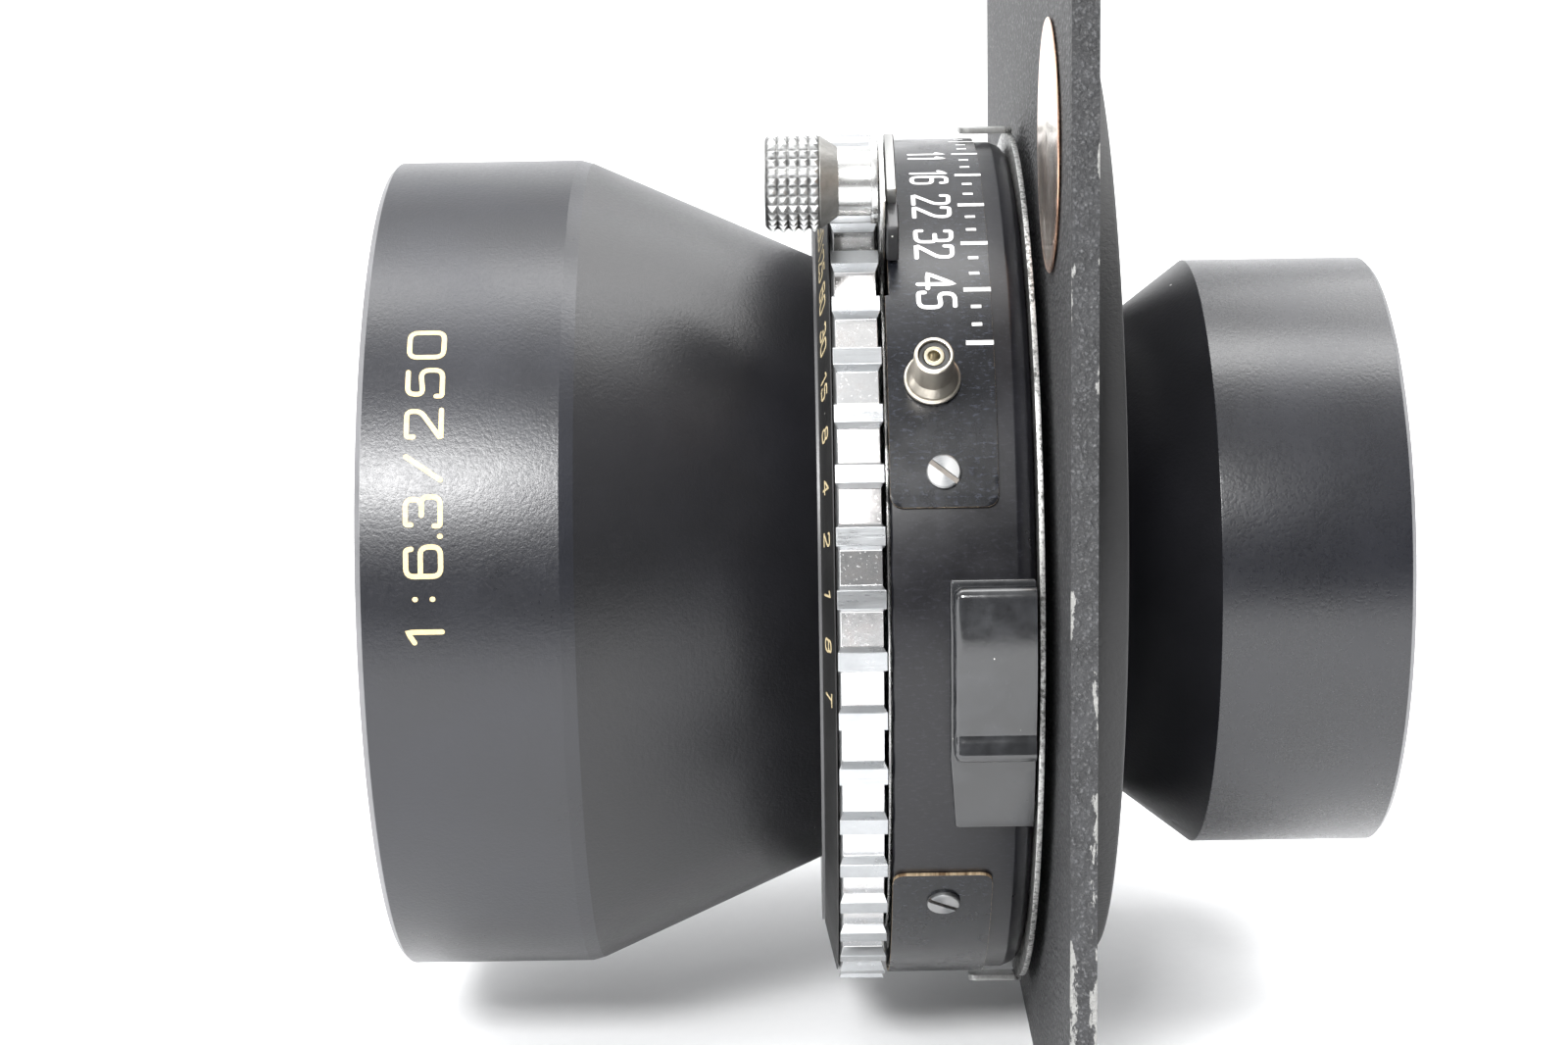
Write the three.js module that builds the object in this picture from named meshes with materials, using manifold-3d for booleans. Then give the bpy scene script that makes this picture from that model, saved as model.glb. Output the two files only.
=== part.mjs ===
// Large-format camera lens in a leaf shutter, mounted on a flat square lens board.
// Millimetres. The optical axis is X, with the front of the lens towards -X, and +Z is up.
// The origin is on the optical axis, in the plane of the lens board's rear face.
// An angle "phi" runs round the axis from -Y (0 degrees) up to +Z (90 degrees).

import * as THREE from "three";
import { mergeVertices } from "three/addons/utils/BufferGeometryUtils.js";
import Module from "manifold-3d";

// ---------------------------------------------------------------- driving dimensions
const GAP = 0.2; // between pieces that fit closely

const FRONT_R = 35; // front cell
const FRONT_RIM_X = -55.9;
const FRONT_CYLINDER_END_X = -40.1;
const FRONT_CONE_END_X = -20.05;
const FRONT_CONE_END_R = 26.3;
const FRONT_THREAD_R = 19.4;

const REAR_R = 25.5; // rear cell
const REAR_RIM_X = 27.7;
const REAR_CONE_END_X = 12.15;
const REAR_THREAD_R = 18.5;

const HOUSING_R = 36; // shutter
const HOUSING_INNER_R = 34.4;
const HOUSING_FRONT_X = -14.6;
const HOUSING_REAR_X = -3.5;
const PLATE_THICK = 0.3;

const RING_R = 36.9; // shutter speed ring
const RING_FRONT_X = -18.8;
const RING_REAR_X = -15.0;
const RING_TEETH = 48;

const OPENING_R = 15.6; // clear opening of the shutter
const BLADE_THICK = 0.2;
const BLADE_PITCH = 0.3;

const BOARD = { width: 96, top: 57.6, bottom: -41.4, thick: 2, hole: 20.8, corner: 4 };

const FINE = 40; // facets round the large turned pieces
const COARSE = 24; // facets round the inner turned pieces
const SMALL = 12; // facets round screws and sockets

// ---------------------------------------------------------------- geometry helpers
const DEG = Math.PI / 180;
const wasm = await Module();
wasm.setup();

// A point of the Y-Z plane at radius r and angle phi.
const polar = (r, phi) => new THREE.Vector2(-r * Math.cos(phi * DEG), r * Math.sin(phi * DEG));

// Points along an arc about the axis.
function arc(r, from, to, steps) {
  return Array.from({ length: steps + 1 }, (_, i) => polar(r, from + ((to - from) * i) / steps));
}

// A closed geometry with shared vertices, no empty triangles and its faces pointing out.
function closed(geometry) {
  const g = geometry.clone();
  g.deleteAttribute("normal");
  g.deleteAttribute("uv");
  const merged = mergeVertices(g, 1e-3);
  const p = merged.attributes.position;
  const index = [];
  let volume = 0;
  const [a, b, c] = [new THREE.Vector3(), new THREE.Vector3(), new THREE.Vector3()];
  for (let i = 0; i < merged.index.count; i += 3) {
    const t = [0, 1, 2].map((k) => merged.index.getX(i + k));
    if (new Set(t).size < 3) continue;
    index.push(...t);
    [a, b, c].forEach((v, k) => v.fromBufferAttribute(p, t[k]));
    volume += a.dot(b.cross(c));
  }
  if (volume < 0) {
    for (let i = 0; i < index.length; i += 3) {
      [index[i + 1], index[i + 2]] = [index[i + 2], index[i + 1]];
    }
  }
  merged.setIndex(index);
  return merged;
}

function toSolid(geometry) {
  const g = closed(geometry);
  const vertProperties = new Float32Array(g.attributes.position.array);
  const triVerts = new Uint32Array(g.index.array);
  return new wasm.Manifold(new wasm.Mesh({ numProp: 3, vertProperties, triVerts }));
}

function fromSolid(solid) {
  const m = solid.getMesh();
  const g = new THREE.BufferGeometry();
  const positions = new Float32Array(m.numVert * 3);
  for (let i = 0; i < m.numVert; i++) {
    positions.set(m.vertProperties.subarray(i * m.numProp, i * m.numProp + 3), i * 3);
  }
  g.setAttribute("position", new THREE.BufferAttribute(positions, 3));
  g.setIndex(new THREE.BufferAttribute(m.triVerts, 1));
  return g;
}

// base, joined with every piece of adds, then cut by every piece of cuts.
function combine(base, adds = [], cuts = []) {
  let solid = toSolid(base);
  for (const g of adds) solid = solid.add(toSolid(g));
  for (const g of cuts) solid = solid.subtract(toSolid(g));
  return fromSolid(solid);
}

// A body turned about the X axis from a closed profile of [x, radius] points.
function turned(profile, facets = FINE) {
  const onAxis = profile[0][1] === 0;
  const points = profile.map(([x, r]) => new THREE.Vector2(r, x));
  if (!onAxis) points.push(points[0].clone());
  const g = new THREE.LatheGeometry(points, facets);
  return closed(g.rotateZ(-Math.PI / 2));
}

// A plain ring about the X axis.
const ring = (x0, x1, r0, r1, facets = FINE) => turned([[x0, r0], [x0, r1], [x1, r1], [x1, r0]], facets);

// A shape drawn in the Y-Z plane, run along X from x0 to x1.
function extruded(shape, x0, x1, options = {}) {
  const settings = { depth: x1 - x0, bevelEnabled: false, curveSegments: 6, ...options };
  const g = new THREE.ExtrudeGeometry(shape, settings);
  g.applyMatrix4(new THREE.Matrix4().set(0, 0, 1, x0, 1, 0, 0, 0, 0, 1, 0, 0, 0, 0, 0, 1));
  return closed(g);
}

// Part of a tube about the X axis, between two angles.
function sector(x0, x1, r0, r1, from, to, step = 7.5) {
  const steps = Math.max(1, Math.round(Math.abs(to - from) / step));
  const outline = [...arc(r1, from, to, steps), ...arc(r0, to, from, steps)];
  return extruded(new THREE.Shape(outline), x0, x1);
}

// A round disc or hole whose axis is parallel to X, at radius r and angle phi.
function axialRod(x0, x1, radius, r, phi, facets = SMALL) {
  const g = turned([[x0, 0], [x0, radius], [x1, radius], [x1, 0]], facets);
  const at = polar(r, phi);
  return g.translate(0, at.x, at.y);
}

// A body turned about a radial line at (x, phi), from [distance from axis, radius] points.
function radialTurned(profile, x, phi, facets = SMALL) {
  const points = profile.map(([height, r]) => new THREE.Vector2(r, height));
  if (profile[0][1] !== 0) points.push(points[0].clone());
  const g = new THREE.LatheGeometry(points, facets);
  return closed(g.rotateX((180 - phi) * DEG).translate(x, 0, 0));
}

const radialRod = (x, phi, radius, from, to, facets = SMALL) =>
  radialTurned([[from, 0], [from, radius], [to, radius], [to, 0]], x, phi, facets);

// A lens element: vertex and radius of curvature of its front and rear faces, and its rim.
function lensElement({ front, frontR, rear, rearR, rim }) {
  const steps = 3;
  const face = (vertex, radius) => (r) =>
    vertex + radius - Math.sign(radius) * Math.sqrt(radius * radius - r * r);
  const heights = Array.from({ length: steps + 1 }, (_, i) => (rim * i) / steps);
  const frontFace = heights.map((r) => [face(front, frontR)(r), r]);
  const rearFace = heights.map((r) => [face(rear, rearR)(r), r]).reverse();
  return turned([...frontFace, ...rearFace], COARSE);
}

// ---------------------------------------------------------------- materials and assembly
const finish = (color, roughness, metalness) => () =>
  new THREE.MeshStandardMaterial({ color, roughness, metalness });
const anodised = finish(0x15161a, 0.45, 0.6);
const blackPaint = finish(0x141416, 0.6, 0.1);
const blackPlastic = finish(0x0c0c0e, 0.25, 0);
const crinklePaint = finish(0x1b1c1d, 0.8, 0.1);
const brushed = finish(0xc9ccce, 0.3, 1);
const nickel = finish(0xd8d4cc, 0.2, 1);
const brass = finish(0xc9a35a, 0.3, 1);
const spring = finish(0x70757c, 0.35, 1);
const bladeBlack = finish(0x1c1d20, 0.5, 0.7);
const clearGlass = () =>
  new THREE.MeshStandardMaterial({ color: 0xbfd0e0, roughness: 0.02, transparent: true, opacity: 0.35 });

const lens = new THREE.Group();

function add(name, geometry, material, parent = lens) {
  const mesh = new THREE.Mesh(geometry, material());
  mesh.name = name;
  parent.add(mesh);
  return mesh;
}

// ---------------------------------------------------------------- front cell
function frontCell() {
  const boreX = -44.6;
  const profile = [
    [FRONT_RIM_X, 33.5],
    [FRONT_RIM_X, FRONT_R - 0.5],
    [FRONT_RIM_X + 0.5, FRONT_R],
    [FRONT_CYLINDER_END_X, FRONT_R],
    [FRONT_CYLINDER_END_X + 1.1, FRONT_R - 0.3],
    [FRONT_CONE_END_X, FRONT_CONE_END_R],
    [FRONT_CONE_END_X, FRONT_THREAD_R],
    [-13.7, FRONT_THREAD_R],
    [-13.7, 18],
    [-18.4, 18],
    [-18.4, 16.5],
    [-24, 16.5],
    [-24, 24],
    [-31.9, 24],
    [-31.9, 28.2],
    [boreX, 28.2],
    [boreX, 31.5],
    [-50.4, 31.5],
    [-50.4, 33.5],
  ];
  add("front_barrel", turned(profile), anodised);
  add("front_retaining_ring", ring(-49.6, -44.9, 26.6, 31.3, COARSE), anodised);
  const outer = { front: -49, frontR: 85, rear: -40.5, rearR: -200, rim: 28 };
  add("front_element_outer", lensElement(outer), clearGlass);
  const flint = { front: -40.35, frontR: -200, rear: -37.2, rearR: 110, rim: 28 };
  add("front_element_flint", lensElement(flint), clearGlass);
  add("front_spacer_ring", ring(-33.3, -32.1, 24.2, 28, COARSE), anodised);
  const inner = { front: -21, frontR: 45, rear: -17.6, rearR: 60, rim: 17.8 };
  add("front_element_inner", lensElement(inner), clearGlass);
  add("front_inner_retainer", ring(-14.8, -13.9, 15.9, 17.85, COARSE), anodised);
}

// ---------------------------------------------------------------- rear cell
function rearCell() {
  const profile = [
    [REAR_RIM_X, 23.1],
    [REAR_RIM_X, REAR_R - 0.4],
    [REAR_RIM_X - 0.4, REAR_R],
    [REAR_CONE_END_X, REAR_R],
    [4.1, 19.4],
    [4.1, REAR_THREAD_R],
    [-5.45, REAR_THREAD_R],
    [-5.45, 17],
    [-1.5, 17],
    [-1.5, 15.4],
    [14.4, 18.5],
    [14.4, 21.5],
    [23.1, 21.5],
    [23.1, 23.1],
  ];
  add("rear_barrel", turned(profile), anodised);
  const inner = { front: -2.4, frontR: -60, rear: 1, rearR: -45, rim: 16.8 };
  add("rear_element_inner", lensElement(inner), clearGlass);
  add("rear_inner_retainer", ring(-5.35, -4.95, 15.2, 16.85, COARSE), anodised);
  const flint = { front: 17, frontR: -100, rear: 19.5, rearR: 170, rim: 21.3 };
  add("rear_element_flint", lensElement(flint), clearGlass);
  const outer = { front: 19.65, frontR: 170, rear: 25.6, rearR: -75, rim: 21.3 };
  add("rear_element_outer", lensElement(outer), clearGlass);
  add("rear_retaining_ring", ring(23.35, 26.2, 19.2, 22.9, COARSE), anodised);
}

// ---------------------------------------------------------------- shutter case
const LEVER_NOTCH = sector(-16, -14.3, 33, 38, 46, 118); // room for the cocking lever's arm
const SLIDER_SLOT = sector(-9.6, -8, 33, 40, -13, 2.2); // room for the press-focus tongue
const RELEASE_SLOT = sector(-6.2, -4.9, 33, 38, 140, 164); // room for the release lever
const PLATE_SCREW_X = -10.46;
const SCALE_SCREWS = [21.9, 113.7];
const LOWER_SCREWS = [-38.3, -113.7];
const SYNC = { x: -11.15, phi: 33.6 };
const CABLE = { x: -9, phi: 200 };
const SCREW = { head: 1.33, shank: 0.5, hole: 0.7, top: 36.75, end: 34.9 };

const screwHole = (phi) => radialRod(PLATE_SCREW_X, phi, SCREW.hole, 33, 38, 8);

function shutterCase() {
  const wall = [
    [HOUSING_FRONT_X, HOUSING_INNER_R],
    [HOUSING_FRONT_X, HOUSING_R - 0.2],
    [HOUSING_FRONT_X + 0.2, HOUSING_R],
    [-4.9, HOUSING_R],
    [-4.0, HOUSING_R - 0.35],
    [HOUSING_REAR_X, HOUSING_R - 1],
    [HOUSING_REAR_X, HOUSING_INNER_R],
  ];
  const holes = [...SCALE_SCREWS, ...LOWER_SCREWS].map(screwHole);
  const cuts = [LEVER_NOTCH, SLIDER_SLOT, RELEASE_SLOT, ...holes];
  add("shutter_housing", combine(turned(wall), [], cuts), blackPaint);

  const hub = [
    [-19.85, 19.6],
    [-19.85, 21.4],
    [-14.2, 21.4],
    [-14.2, 34.2],
    [-13.2, 34.2],
    [-13.2, 19.6],
  ];
  add("mechanism_plate", turned(hub), brushed);

  const back = [
    [-4.4, 18.9],
    [-4.4, 34.2],
    [-3.6, 34.2],
    [-3.6, 23.4],
    [-2.08, 23.4],
    [-2.08, 20.6],
    [3.9, 20.6],
    [3.9, 18.9],
  ];
  const pinSlot = sector(-5, -3, 26.9, 29.1, 140, 206);
  add("back_plate", combine(turned(back), [], [pinSlot]), brushed);
  const cover = [
    [-19.85, 21.6],
    [-19.85, 28],
    [-20.2, 30.8],
    [-20.2, 31.8],
    [-19.2, 31.8],
    [-19.2, 21.6],
  ];
  add("front_cover", turned(cover), brushed);
}

function plateWithScrews(name, from, to, rearX, screwName, screws) {
  const inner = HOUSING_R + 0.05;
  const plate = sector(HOUSING_FRONT_X, rearX, inner, inner + PLATE_THICK, from, to, 5);
  const cuts = [LEVER_NOTCH, ...screws.map(screwHole)];
  if (from < SYNC.phi && SYNC.phi < to) cuts.push(radialRod(SYNC.x, SYNC.phi, 1.2, 33, 38, 8));
  add(name, combine(plate, [], cuts), blackPaint);
  screws.forEach((phi, i) => {
    const turnedScrew = [
      [SCREW.end, 0],
      [SCREW.end, SCREW.shank],
      [36.45, SCREW.shank],
      [36.45, SCREW.head],
      [SCREW.top, SCREW.head],
      [SCREW.top, 0],
    ];
    const slot = new THREE.BoxGeometry(0.3, 0.4, 3);
    slot.rotateY(0.9).translate(0, SCREW.top, 0);
    slot.rotateX((180 - phi) * DEG).translate(PLATE_SCREW_X, 0, 0);
    const screw = radialTurned(turnedScrew, PLATE_SCREW_X, phi, 12);
    add(`${screwName}_${i + 1}`, combine(screw, [], [slot]), nickel);
  });
}

function syncSocket() {
  const shell = [
    [36.45, 0],
    [36.45, 2.2],
    [36.8, 2.2],
    [36.8, 2],
    [37.2, 2],
    [38, 1.6],
    [41, 1.55],
    [41, 1.2],
    [38.3, 1.2],
    [38.3, 0],
  ];
  add("sync_socket_shell", radialTurned(shell, SYNC.x, SYNC.phi), nickel);
  const collar = [[38.45, 0.85], [38.45, 1.15], [40.7, 1.15], [40.7, 0.85]];
  add("sync_socket_insulator", radialTurned(collar, SYNC.x, SYNC.phi), blackPlastic);
  const contact = [[38.45, 0.45], [38.45, 0.78], [40.8, 0.78], [40.8, 0.45]];
  add("sync_socket_contact", radialTurned(contact, SYNC.x, SYNC.phi), brass);
}

function cableSocket() {
  const tube = [
    [36.2, 1.5],
    [36.2, 3],
    [37.2, 3],
    [37.6, 2.6],
    [41.5, 2.6],
    [41.5, 1.6],
  ];
  add("cable_release_socket", radialTurned(tube, CABLE.x, CABLE.phi), nickel);
}

// ---------------------------------------------------------------- shutter speed ring
function speedRing() {
  const root = RING_R - 0.8;
  const pitch = 360 / RING_TEETH;
  const firstRidge = -0.8;
  const outline = [];
  for (let i = 0; i < RING_TEETH; i++) {
    const centre = firstRidge + i * pitch;
    outline.push(polar(root, centre - 1.6), polar(RING_R, centre - 1.1));
    outline.push(polar(RING_R, centre + 1.1), polar(root, centre + 1.6));
  }
  const shape = new THREE.Shape(outline);
  shape.holes.push(new THREE.Path(arc(33.2, 360, 0, FINE).slice(0, FINE)));
  add("speed_ring", extruded(shape, RING_FRONT_X, RING_REAR_X), brushed);
  const dial = [[-19.95, 32], [-19, 36.1], [-18.9, 36.1], [-18.9, 32]];
  add("speed_dial", turned(dial), blackPaint);
  add("speed_cam_plate", ring(-17.9, -17.3, 23, 32.9, COARSE), spring);
}

// ---------------------------------------------------------------- cocking lever
const KNOB = { r: 40.7, phi: 58.6 };

function cockingLever() {
  const arm = sector(-14.9, -14.5, 31, 42.6, KNOB.phi - 6.5, KNOB.phi + 6.5, 3.25);
  const lever = combine(ring(-14.9, -14.5, 22.5, 32.5), [arm]);
  add("cocking_lever", lever, nickel);

  const at = polar(KNOB.r, KNOB.phi);
  const profile = [
    [-23.9, 0],
    [-23.9, 3.7],
    [-23.6, 4],
    [-19.5, 4],
    [-19.2, 3.7],
    [-18.1, 2.7],
    [-15, 2.7],
    [-15, 0],
  ];
  const knob = add("cocking_knob", turned(profile, 24), nickel);
  knob.position.set(0, at.x, at.y);

  const cover = sector(-14.4, -13.4, 36.65, 41.8, KNOB.phi - 7.5, KNOB.phi + 7.5, 3);
  add("cocking_lever_cover", cover, blackPlastic);
  add("cocking_spring", sector(-16.6, -15.6, 25, 26, 80, 380, 10), spring);
}

// ---------------------------------------------------------------- release lever
const RELEASE = { pivotR: 31.9, pivotPhi: 162, tipR: 41.5, tipPhi: 150, x0: -5.9, x1: -5.2 };

function releaseLever() {
  const pivot = polar(RELEASE.pivotR, RELEASE.pivotPhi);
  const tip = polar(RELEASE.tipR, RELEASE.tipPhi);
  const along = tip.clone().sub(pivot).normalize();
  const across = new THREE.Vector2(-along.y, along.x);
  const corner = (from, forward, side) =>
    from.clone().addScaledVector(along, forward).addScaledVector(across, side);
  const outline = [
    corner(pivot, -2, -1.6),
    corner(tip, 0, -1.2),
    corner(tip, 0, 1.2),
    corner(pivot, -2, 1.6),
  ];
  const arm = extruded(new THREE.Shape(outline), RELEASE.x0, RELEASE.x1);
  const hole = axialRod(-7, -4, 1.15, RELEASE.pivotR, RELEASE.pivotPhi, 12);
  add("release_lever", combine(arm, [], [hole]), nickel);
  const pin = axialRod(-6.1, -4.5, 1, RELEASE.pivotR, RELEASE.pivotPhi, 12);
  add("release_pivot_pin", pin, spring);

  const pad = [
    corner(tip, 0.15, -2.2),
    corner(tip, 1.8, -2.2),
    corner(tip, 1.8, 2.2),
    corner(tip, 0.15, 2.2),
  ];
  add("release_lever_tip", extruded(new THREE.Shape(pad), -9.5, -4.9), blackPlastic);
}

// ---------------------------------------------------------------- press-focus slider
function pressFocus() {
  const track = sector(-10.2, HOUSING_REAR_X - 0.1, HOUSING_R + 0.05, 36.85, -23.8, 8.9, 3.6);
  add("press_focus_track", combine(track, [], [SLIDER_SLOT]), blackPlastic);
  const block = sector(-10, -3.7, 37, 39, -13.5, 8.2, 3.6);
  const tongue = sector(-9.3, -8.3, 34.25, 37.5, -3, 1, 2);
  add("press_focus_slider", combine(block, [tongue]), blackPlastic);

  // The blade driving ring reaches out to the slider's tongue with one bent arm.
  const arm = sector(-12.9, -12.4, 29, 34.1, -3, 1, 2);
  const finger = sector(-12.9, -8.3, 33.1, 34.1, -3, 1, 2);
  const driver = combine(ring(-12.9, -12.4, 17, 30.4, COARSE), [arm, finger]);
  add("shutter_drive_ring", driver, spring);
}

// ---------------------------------------------------------------- blades
// A leaf in its open place: part of a ring, with a round lobe and a pin at its pivot.
function leaf({ pivotR, inner, outer, span, x0, pinTo, closedBy }) {
  const x1 = x0 + BLADE_THICK;
  const steps = Math.round(span / 9);
  const start = -7;
  const at = (r, angle) => new THREE.Vector2(r * Math.cos(angle * DEG), r * Math.sin(angle * DEG));
  const sweep = (r, from, to) =>
    Array.from({ length: steps + 1 }, (_, i) => at(r, from + ((to - from) * i) / steps));
  const lobe = [at(pivotR + 1.6, 3.5), at(pivotR + 1.6, -3.5)];
  const outline = [...sweep(inner, span, start), ...lobe.reverse(), ...sweep(outer, 8, span)];
  const body = extruded(new THREE.Shape(outline), x0, x1);
  const pin = turned([[0, 0], [0, 0.5], [1, 0.5], [1, 0]], 8);
  const pinStart = Math.min(x0 + BLADE_THICK / 2, pinTo);
  const pinEnd = Math.max(x0 + BLADE_THICK / 2, pinTo);
  pin.scale(pinEnd - pinStart, 1, 1).translate(pinStart, pivotR, 0);
  const g = combine(body, [pin]);
  return g.translate(0, -pivotR, 0).rotateX(closedBy * DEG).translate(0, pivotR, 0);
}

const IRIS = { count: 7, pivotR: 27, inner: 15.9, outer: 25.4, span: 80, x: -9.6 };
const LEAVES = { count: 5, pivotR: 30.4, inner: 16, outer: 28.5, span: 122, x: -11.4, closedBy: 31.6 };

function pivotHoles({ count, pivotR }, x0, x1) {
  return Array.from({ length: count }, (_, i) => {
    const hole = turned([[x0, 0], [x0, 0.7], [x1, 0.7], [x1, 0]], 8);
    return hole.translate(0, pivotR, 0).rotateX((i * 360 * DEG) / count);
  });
}

function blades() {
  const baseX = [-7.3, -6.8];
  const base = ring(baseX[0], baseX[1], 16.3, 34.2);
  add("iris_base_ring", combine(base, [], pivotHoles(IRIS, -8, -6)), bladeBlack);
  for (let i = 0; i < IRIS.count; i++) {
    const x0 = IRIS.x + i * BLADE_PITCH;
    const blade = leaf({ ...IRIS, x0, pinTo: -6.85, closedBy: 0 });
    const mesh = add(`iris_blade_${i + 1}`, blade, bladeBlack);
    mesh.rotation.x = (i * 360 * DEG) / IRIS.count;
  }
  add("iris_drive_ring", ring(-6.4, -5.9, 16.6, 29.2, COARSE), spring);

  const cup = [[-13.1, 31.6], [-13.1, 33], [-11.6, 33], [-11.6, 16.3], [-12.1, 16.3], [-12.1, 31.6]];
  const notch = sector(-14, -11, 31.2, 35, -14, 4, 6);
  const cuts = [notch, ...pivotHoles(LEAVES, -13, -11)];
  add("shutter_base_ring", combine(turned(cup), [], cuts), bladeBlack);
  for (let i = 0; i < LEAVES.count; i++) {
    const x0 = LEAVES.x + i * BLADE_PITCH;
    const blade = leaf({ ...LEAVES, x0, pinTo: -12.05 });
    const mesh = add(`shutter_blade_${i + 1}`, blade, bladeBlack);
    mesh.rotation.x = (i * 360 * DEG) / LEAVES.count;
  }
}

// ---------------------------------------------------------------- aperture ring
function apertureRing() {
  const plate = ring(-3.35, -2.9, 24, RING_R);
  const halfTab = 3.2;
  const tabs = [92, -77].map((phi) =>
    sector(-7.4, -2.9, 36.85, 37.35, phi - halfTab, phi + halfTab, 3.2),
  );
  const pin = axialRod(-5.8, -3.1, 0.9, 28, 202, 12);
  add("aperture_ring", combine(plate, [...tabs, pin]), nickel);
}

// ---------------------------------------------------------------- lens board
function lensBoard() {
  const { width, top, bottom, thick, hole, corner } = BOARD;
  const half = width / 2;
  const shape = new THREE.Shape();
  shape.moveTo(-half + corner, bottom);
  shape.lineTo(half - corner, bottom);
  shape.absarc(half - corner, bottom + corner, corner, -Math.PI / 2, 0);
  shape.lineTo(half, top - corner);
  shape.absarc(half - corner, top - corner, corner, 0, Math.PI / 2);
  shape.lineTo(-half + corner, top);
  shape.absarc(-half + corner, top - corner, corner, Math.PI / 2, Math.PI);
  shape.lineTo(-half, bottom + corner);
  shape.absarc(-half + corner, bottom + corner, corner, Math.PI, Math.PI * 1.5);
  const bevel = 0.5;
  const settings = {
    depth: thick - 2 * bevel,
    bevelEnabled: true,
    bevelThickness: bevel,
    bevelSize: bevel,
    bevelOffset: -bevel,
    bevelSegments: 1,
  };
  const plate = extruded(shape, -thick + bevel, -bevel, settings);
  const lightTrap = ring(-1, 3.1, 38.9, 40.4).translate(0, 0, 6);
  const bore = turned([[-4, 0], [-4, hole], [4, hole], [4, 0]]);
  const notch = axialRod(-4, 4, 1.1, 21.5, -90, 12);
  add("lens_board", combine(plate, [lightTrap], [bore, notch]), crinklePaint);
  add("locating_screw", axialRod(-2.02, -0.5, 0.85, 21.5, -90, 12), nickel);

  const badge = turned([[-2.3, 0], [-2.3, 9.7], [-2.05, 9.7], [-2.05, 0]], COARSE);
  add("board_badge", badge, nickel).position.set(0, -30.2, 38);

  const nut = ring(0.1, 3, 20.8, 25.2);
  const slots = [0, 90, 180, 270].map((phi) => sector(1.6, 4, 23.4, 27, phi - 4, phi + 4, 4));
  add("retaining_ring", combine(nut, [], slots), anodised);
}

frontCell();
rearCell();
shutterCase();
plateWithScrews("aperture_scale_plate", 17.6, 118, -6.3, "scale_plate_screw", SCALE_SCREWS);
plateWithScrews("lower_plate", -118, -32.8, -6.6, "lower_plate_screw", LOWER_SCREWS);
syncSocket();
cableSocket();
speedRing();
cockingLever();
releaseLever();
pressFocus();
blades();
apertureRing();
lensBoard();

export default lens;
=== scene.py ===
from math import atan2, ceil, copysign, cos, degrees, floor, hypot, pi, radians, sin, sqrt, tan

import bmesh
import bpy
from mathutils import Matrix, Vector


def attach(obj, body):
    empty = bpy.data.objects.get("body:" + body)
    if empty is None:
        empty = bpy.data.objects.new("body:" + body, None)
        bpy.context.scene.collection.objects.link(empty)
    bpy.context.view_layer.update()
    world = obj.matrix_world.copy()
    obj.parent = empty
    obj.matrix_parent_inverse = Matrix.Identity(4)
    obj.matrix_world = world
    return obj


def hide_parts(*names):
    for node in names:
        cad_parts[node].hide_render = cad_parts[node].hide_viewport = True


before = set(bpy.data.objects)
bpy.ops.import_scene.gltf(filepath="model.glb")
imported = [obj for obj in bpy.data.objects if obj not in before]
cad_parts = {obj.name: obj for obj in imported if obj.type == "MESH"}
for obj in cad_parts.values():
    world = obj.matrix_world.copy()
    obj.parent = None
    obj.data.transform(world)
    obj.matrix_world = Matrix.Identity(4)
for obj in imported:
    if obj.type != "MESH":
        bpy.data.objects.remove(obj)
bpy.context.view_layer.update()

# Lengths are millimetres in the object's own frame until put() turns them into metres. X is the optical
# axis (front towards -X), Z is up, and phi runs round the axis from -Y (0) to +Z (90).
MM = 0.001
STEPS = 180
BODY = "lens_and_board"
CASE_R = 36.05          # the outside of the shutter case, with a little air under what lies on it
BOARD_WIDTH, BOARD_HEIGHT, BOARD_BOTTOM = 96.0, 99.0, -41.4
KNOB_R, KNOB_PHI, KNURL_VALLEY = 40.7, 58.6, 3.62
RIDGES, FIRST_RIDGE = 48, -0.8      # the speed ring's ridges, and the angle of the first one


# ---- shapes
def polar(r, phi):
    a = radians(phi)
    return -r * cos(a), r * sin(a)


def around(x, r, phi):
    y, z = polar(r, phi)
    return Vector((x, y, z))


def spread(a, b, count):
    return [a + (b - a) * i / count for i in range(count + 1)]


def rounded(profile, radius, segments=3):
    """A closed outline whose corners are short curves. A third number on a point is its own radius."""
    out = []
    for i, point in enumerate(profile):
        a, b, c = Vector(profile[i - 1][:2]), Vector(point[:2]), Vector(profile[(i + 1) % len(profile)][:2])
        r = point[2] if len(point) > 2 else radius
        u, v = a - b, c - b
        if r <= 0 or u.length < 1e-6 or v.length < 1e-6 or u.angle(v) > radians(174):
            out.append(b)
            continue
        t = min(r / tan(u.angle(v) / 2), 0.45 * u.length, 0.45 * v.length)
        p, q = b + u.normalized() * t, b + v.normalized() * t
        for k in range(segments + 1):
            s = k / segments
            out.append(p * (1 - s) ** 2 + b * 2 * s * (1 - s) + q * s * s)
    return out


def circle(r, count):
    return [(r * cos(2 * pi * i / count), r * sin(2 * pi * i / count)) for i in range(count)]


def cleaned(bm):
    bmesh.ops.remove_doubles(bm, verts=bm.verts, dist=1e-4)
    bmesh.ops.dissolve_degenerate(bm, edges=bm.edges, dist=1e-4)
    bmesh.ops.recalc_face_normals(bm, faces=bm.faces)
    return bm


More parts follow.
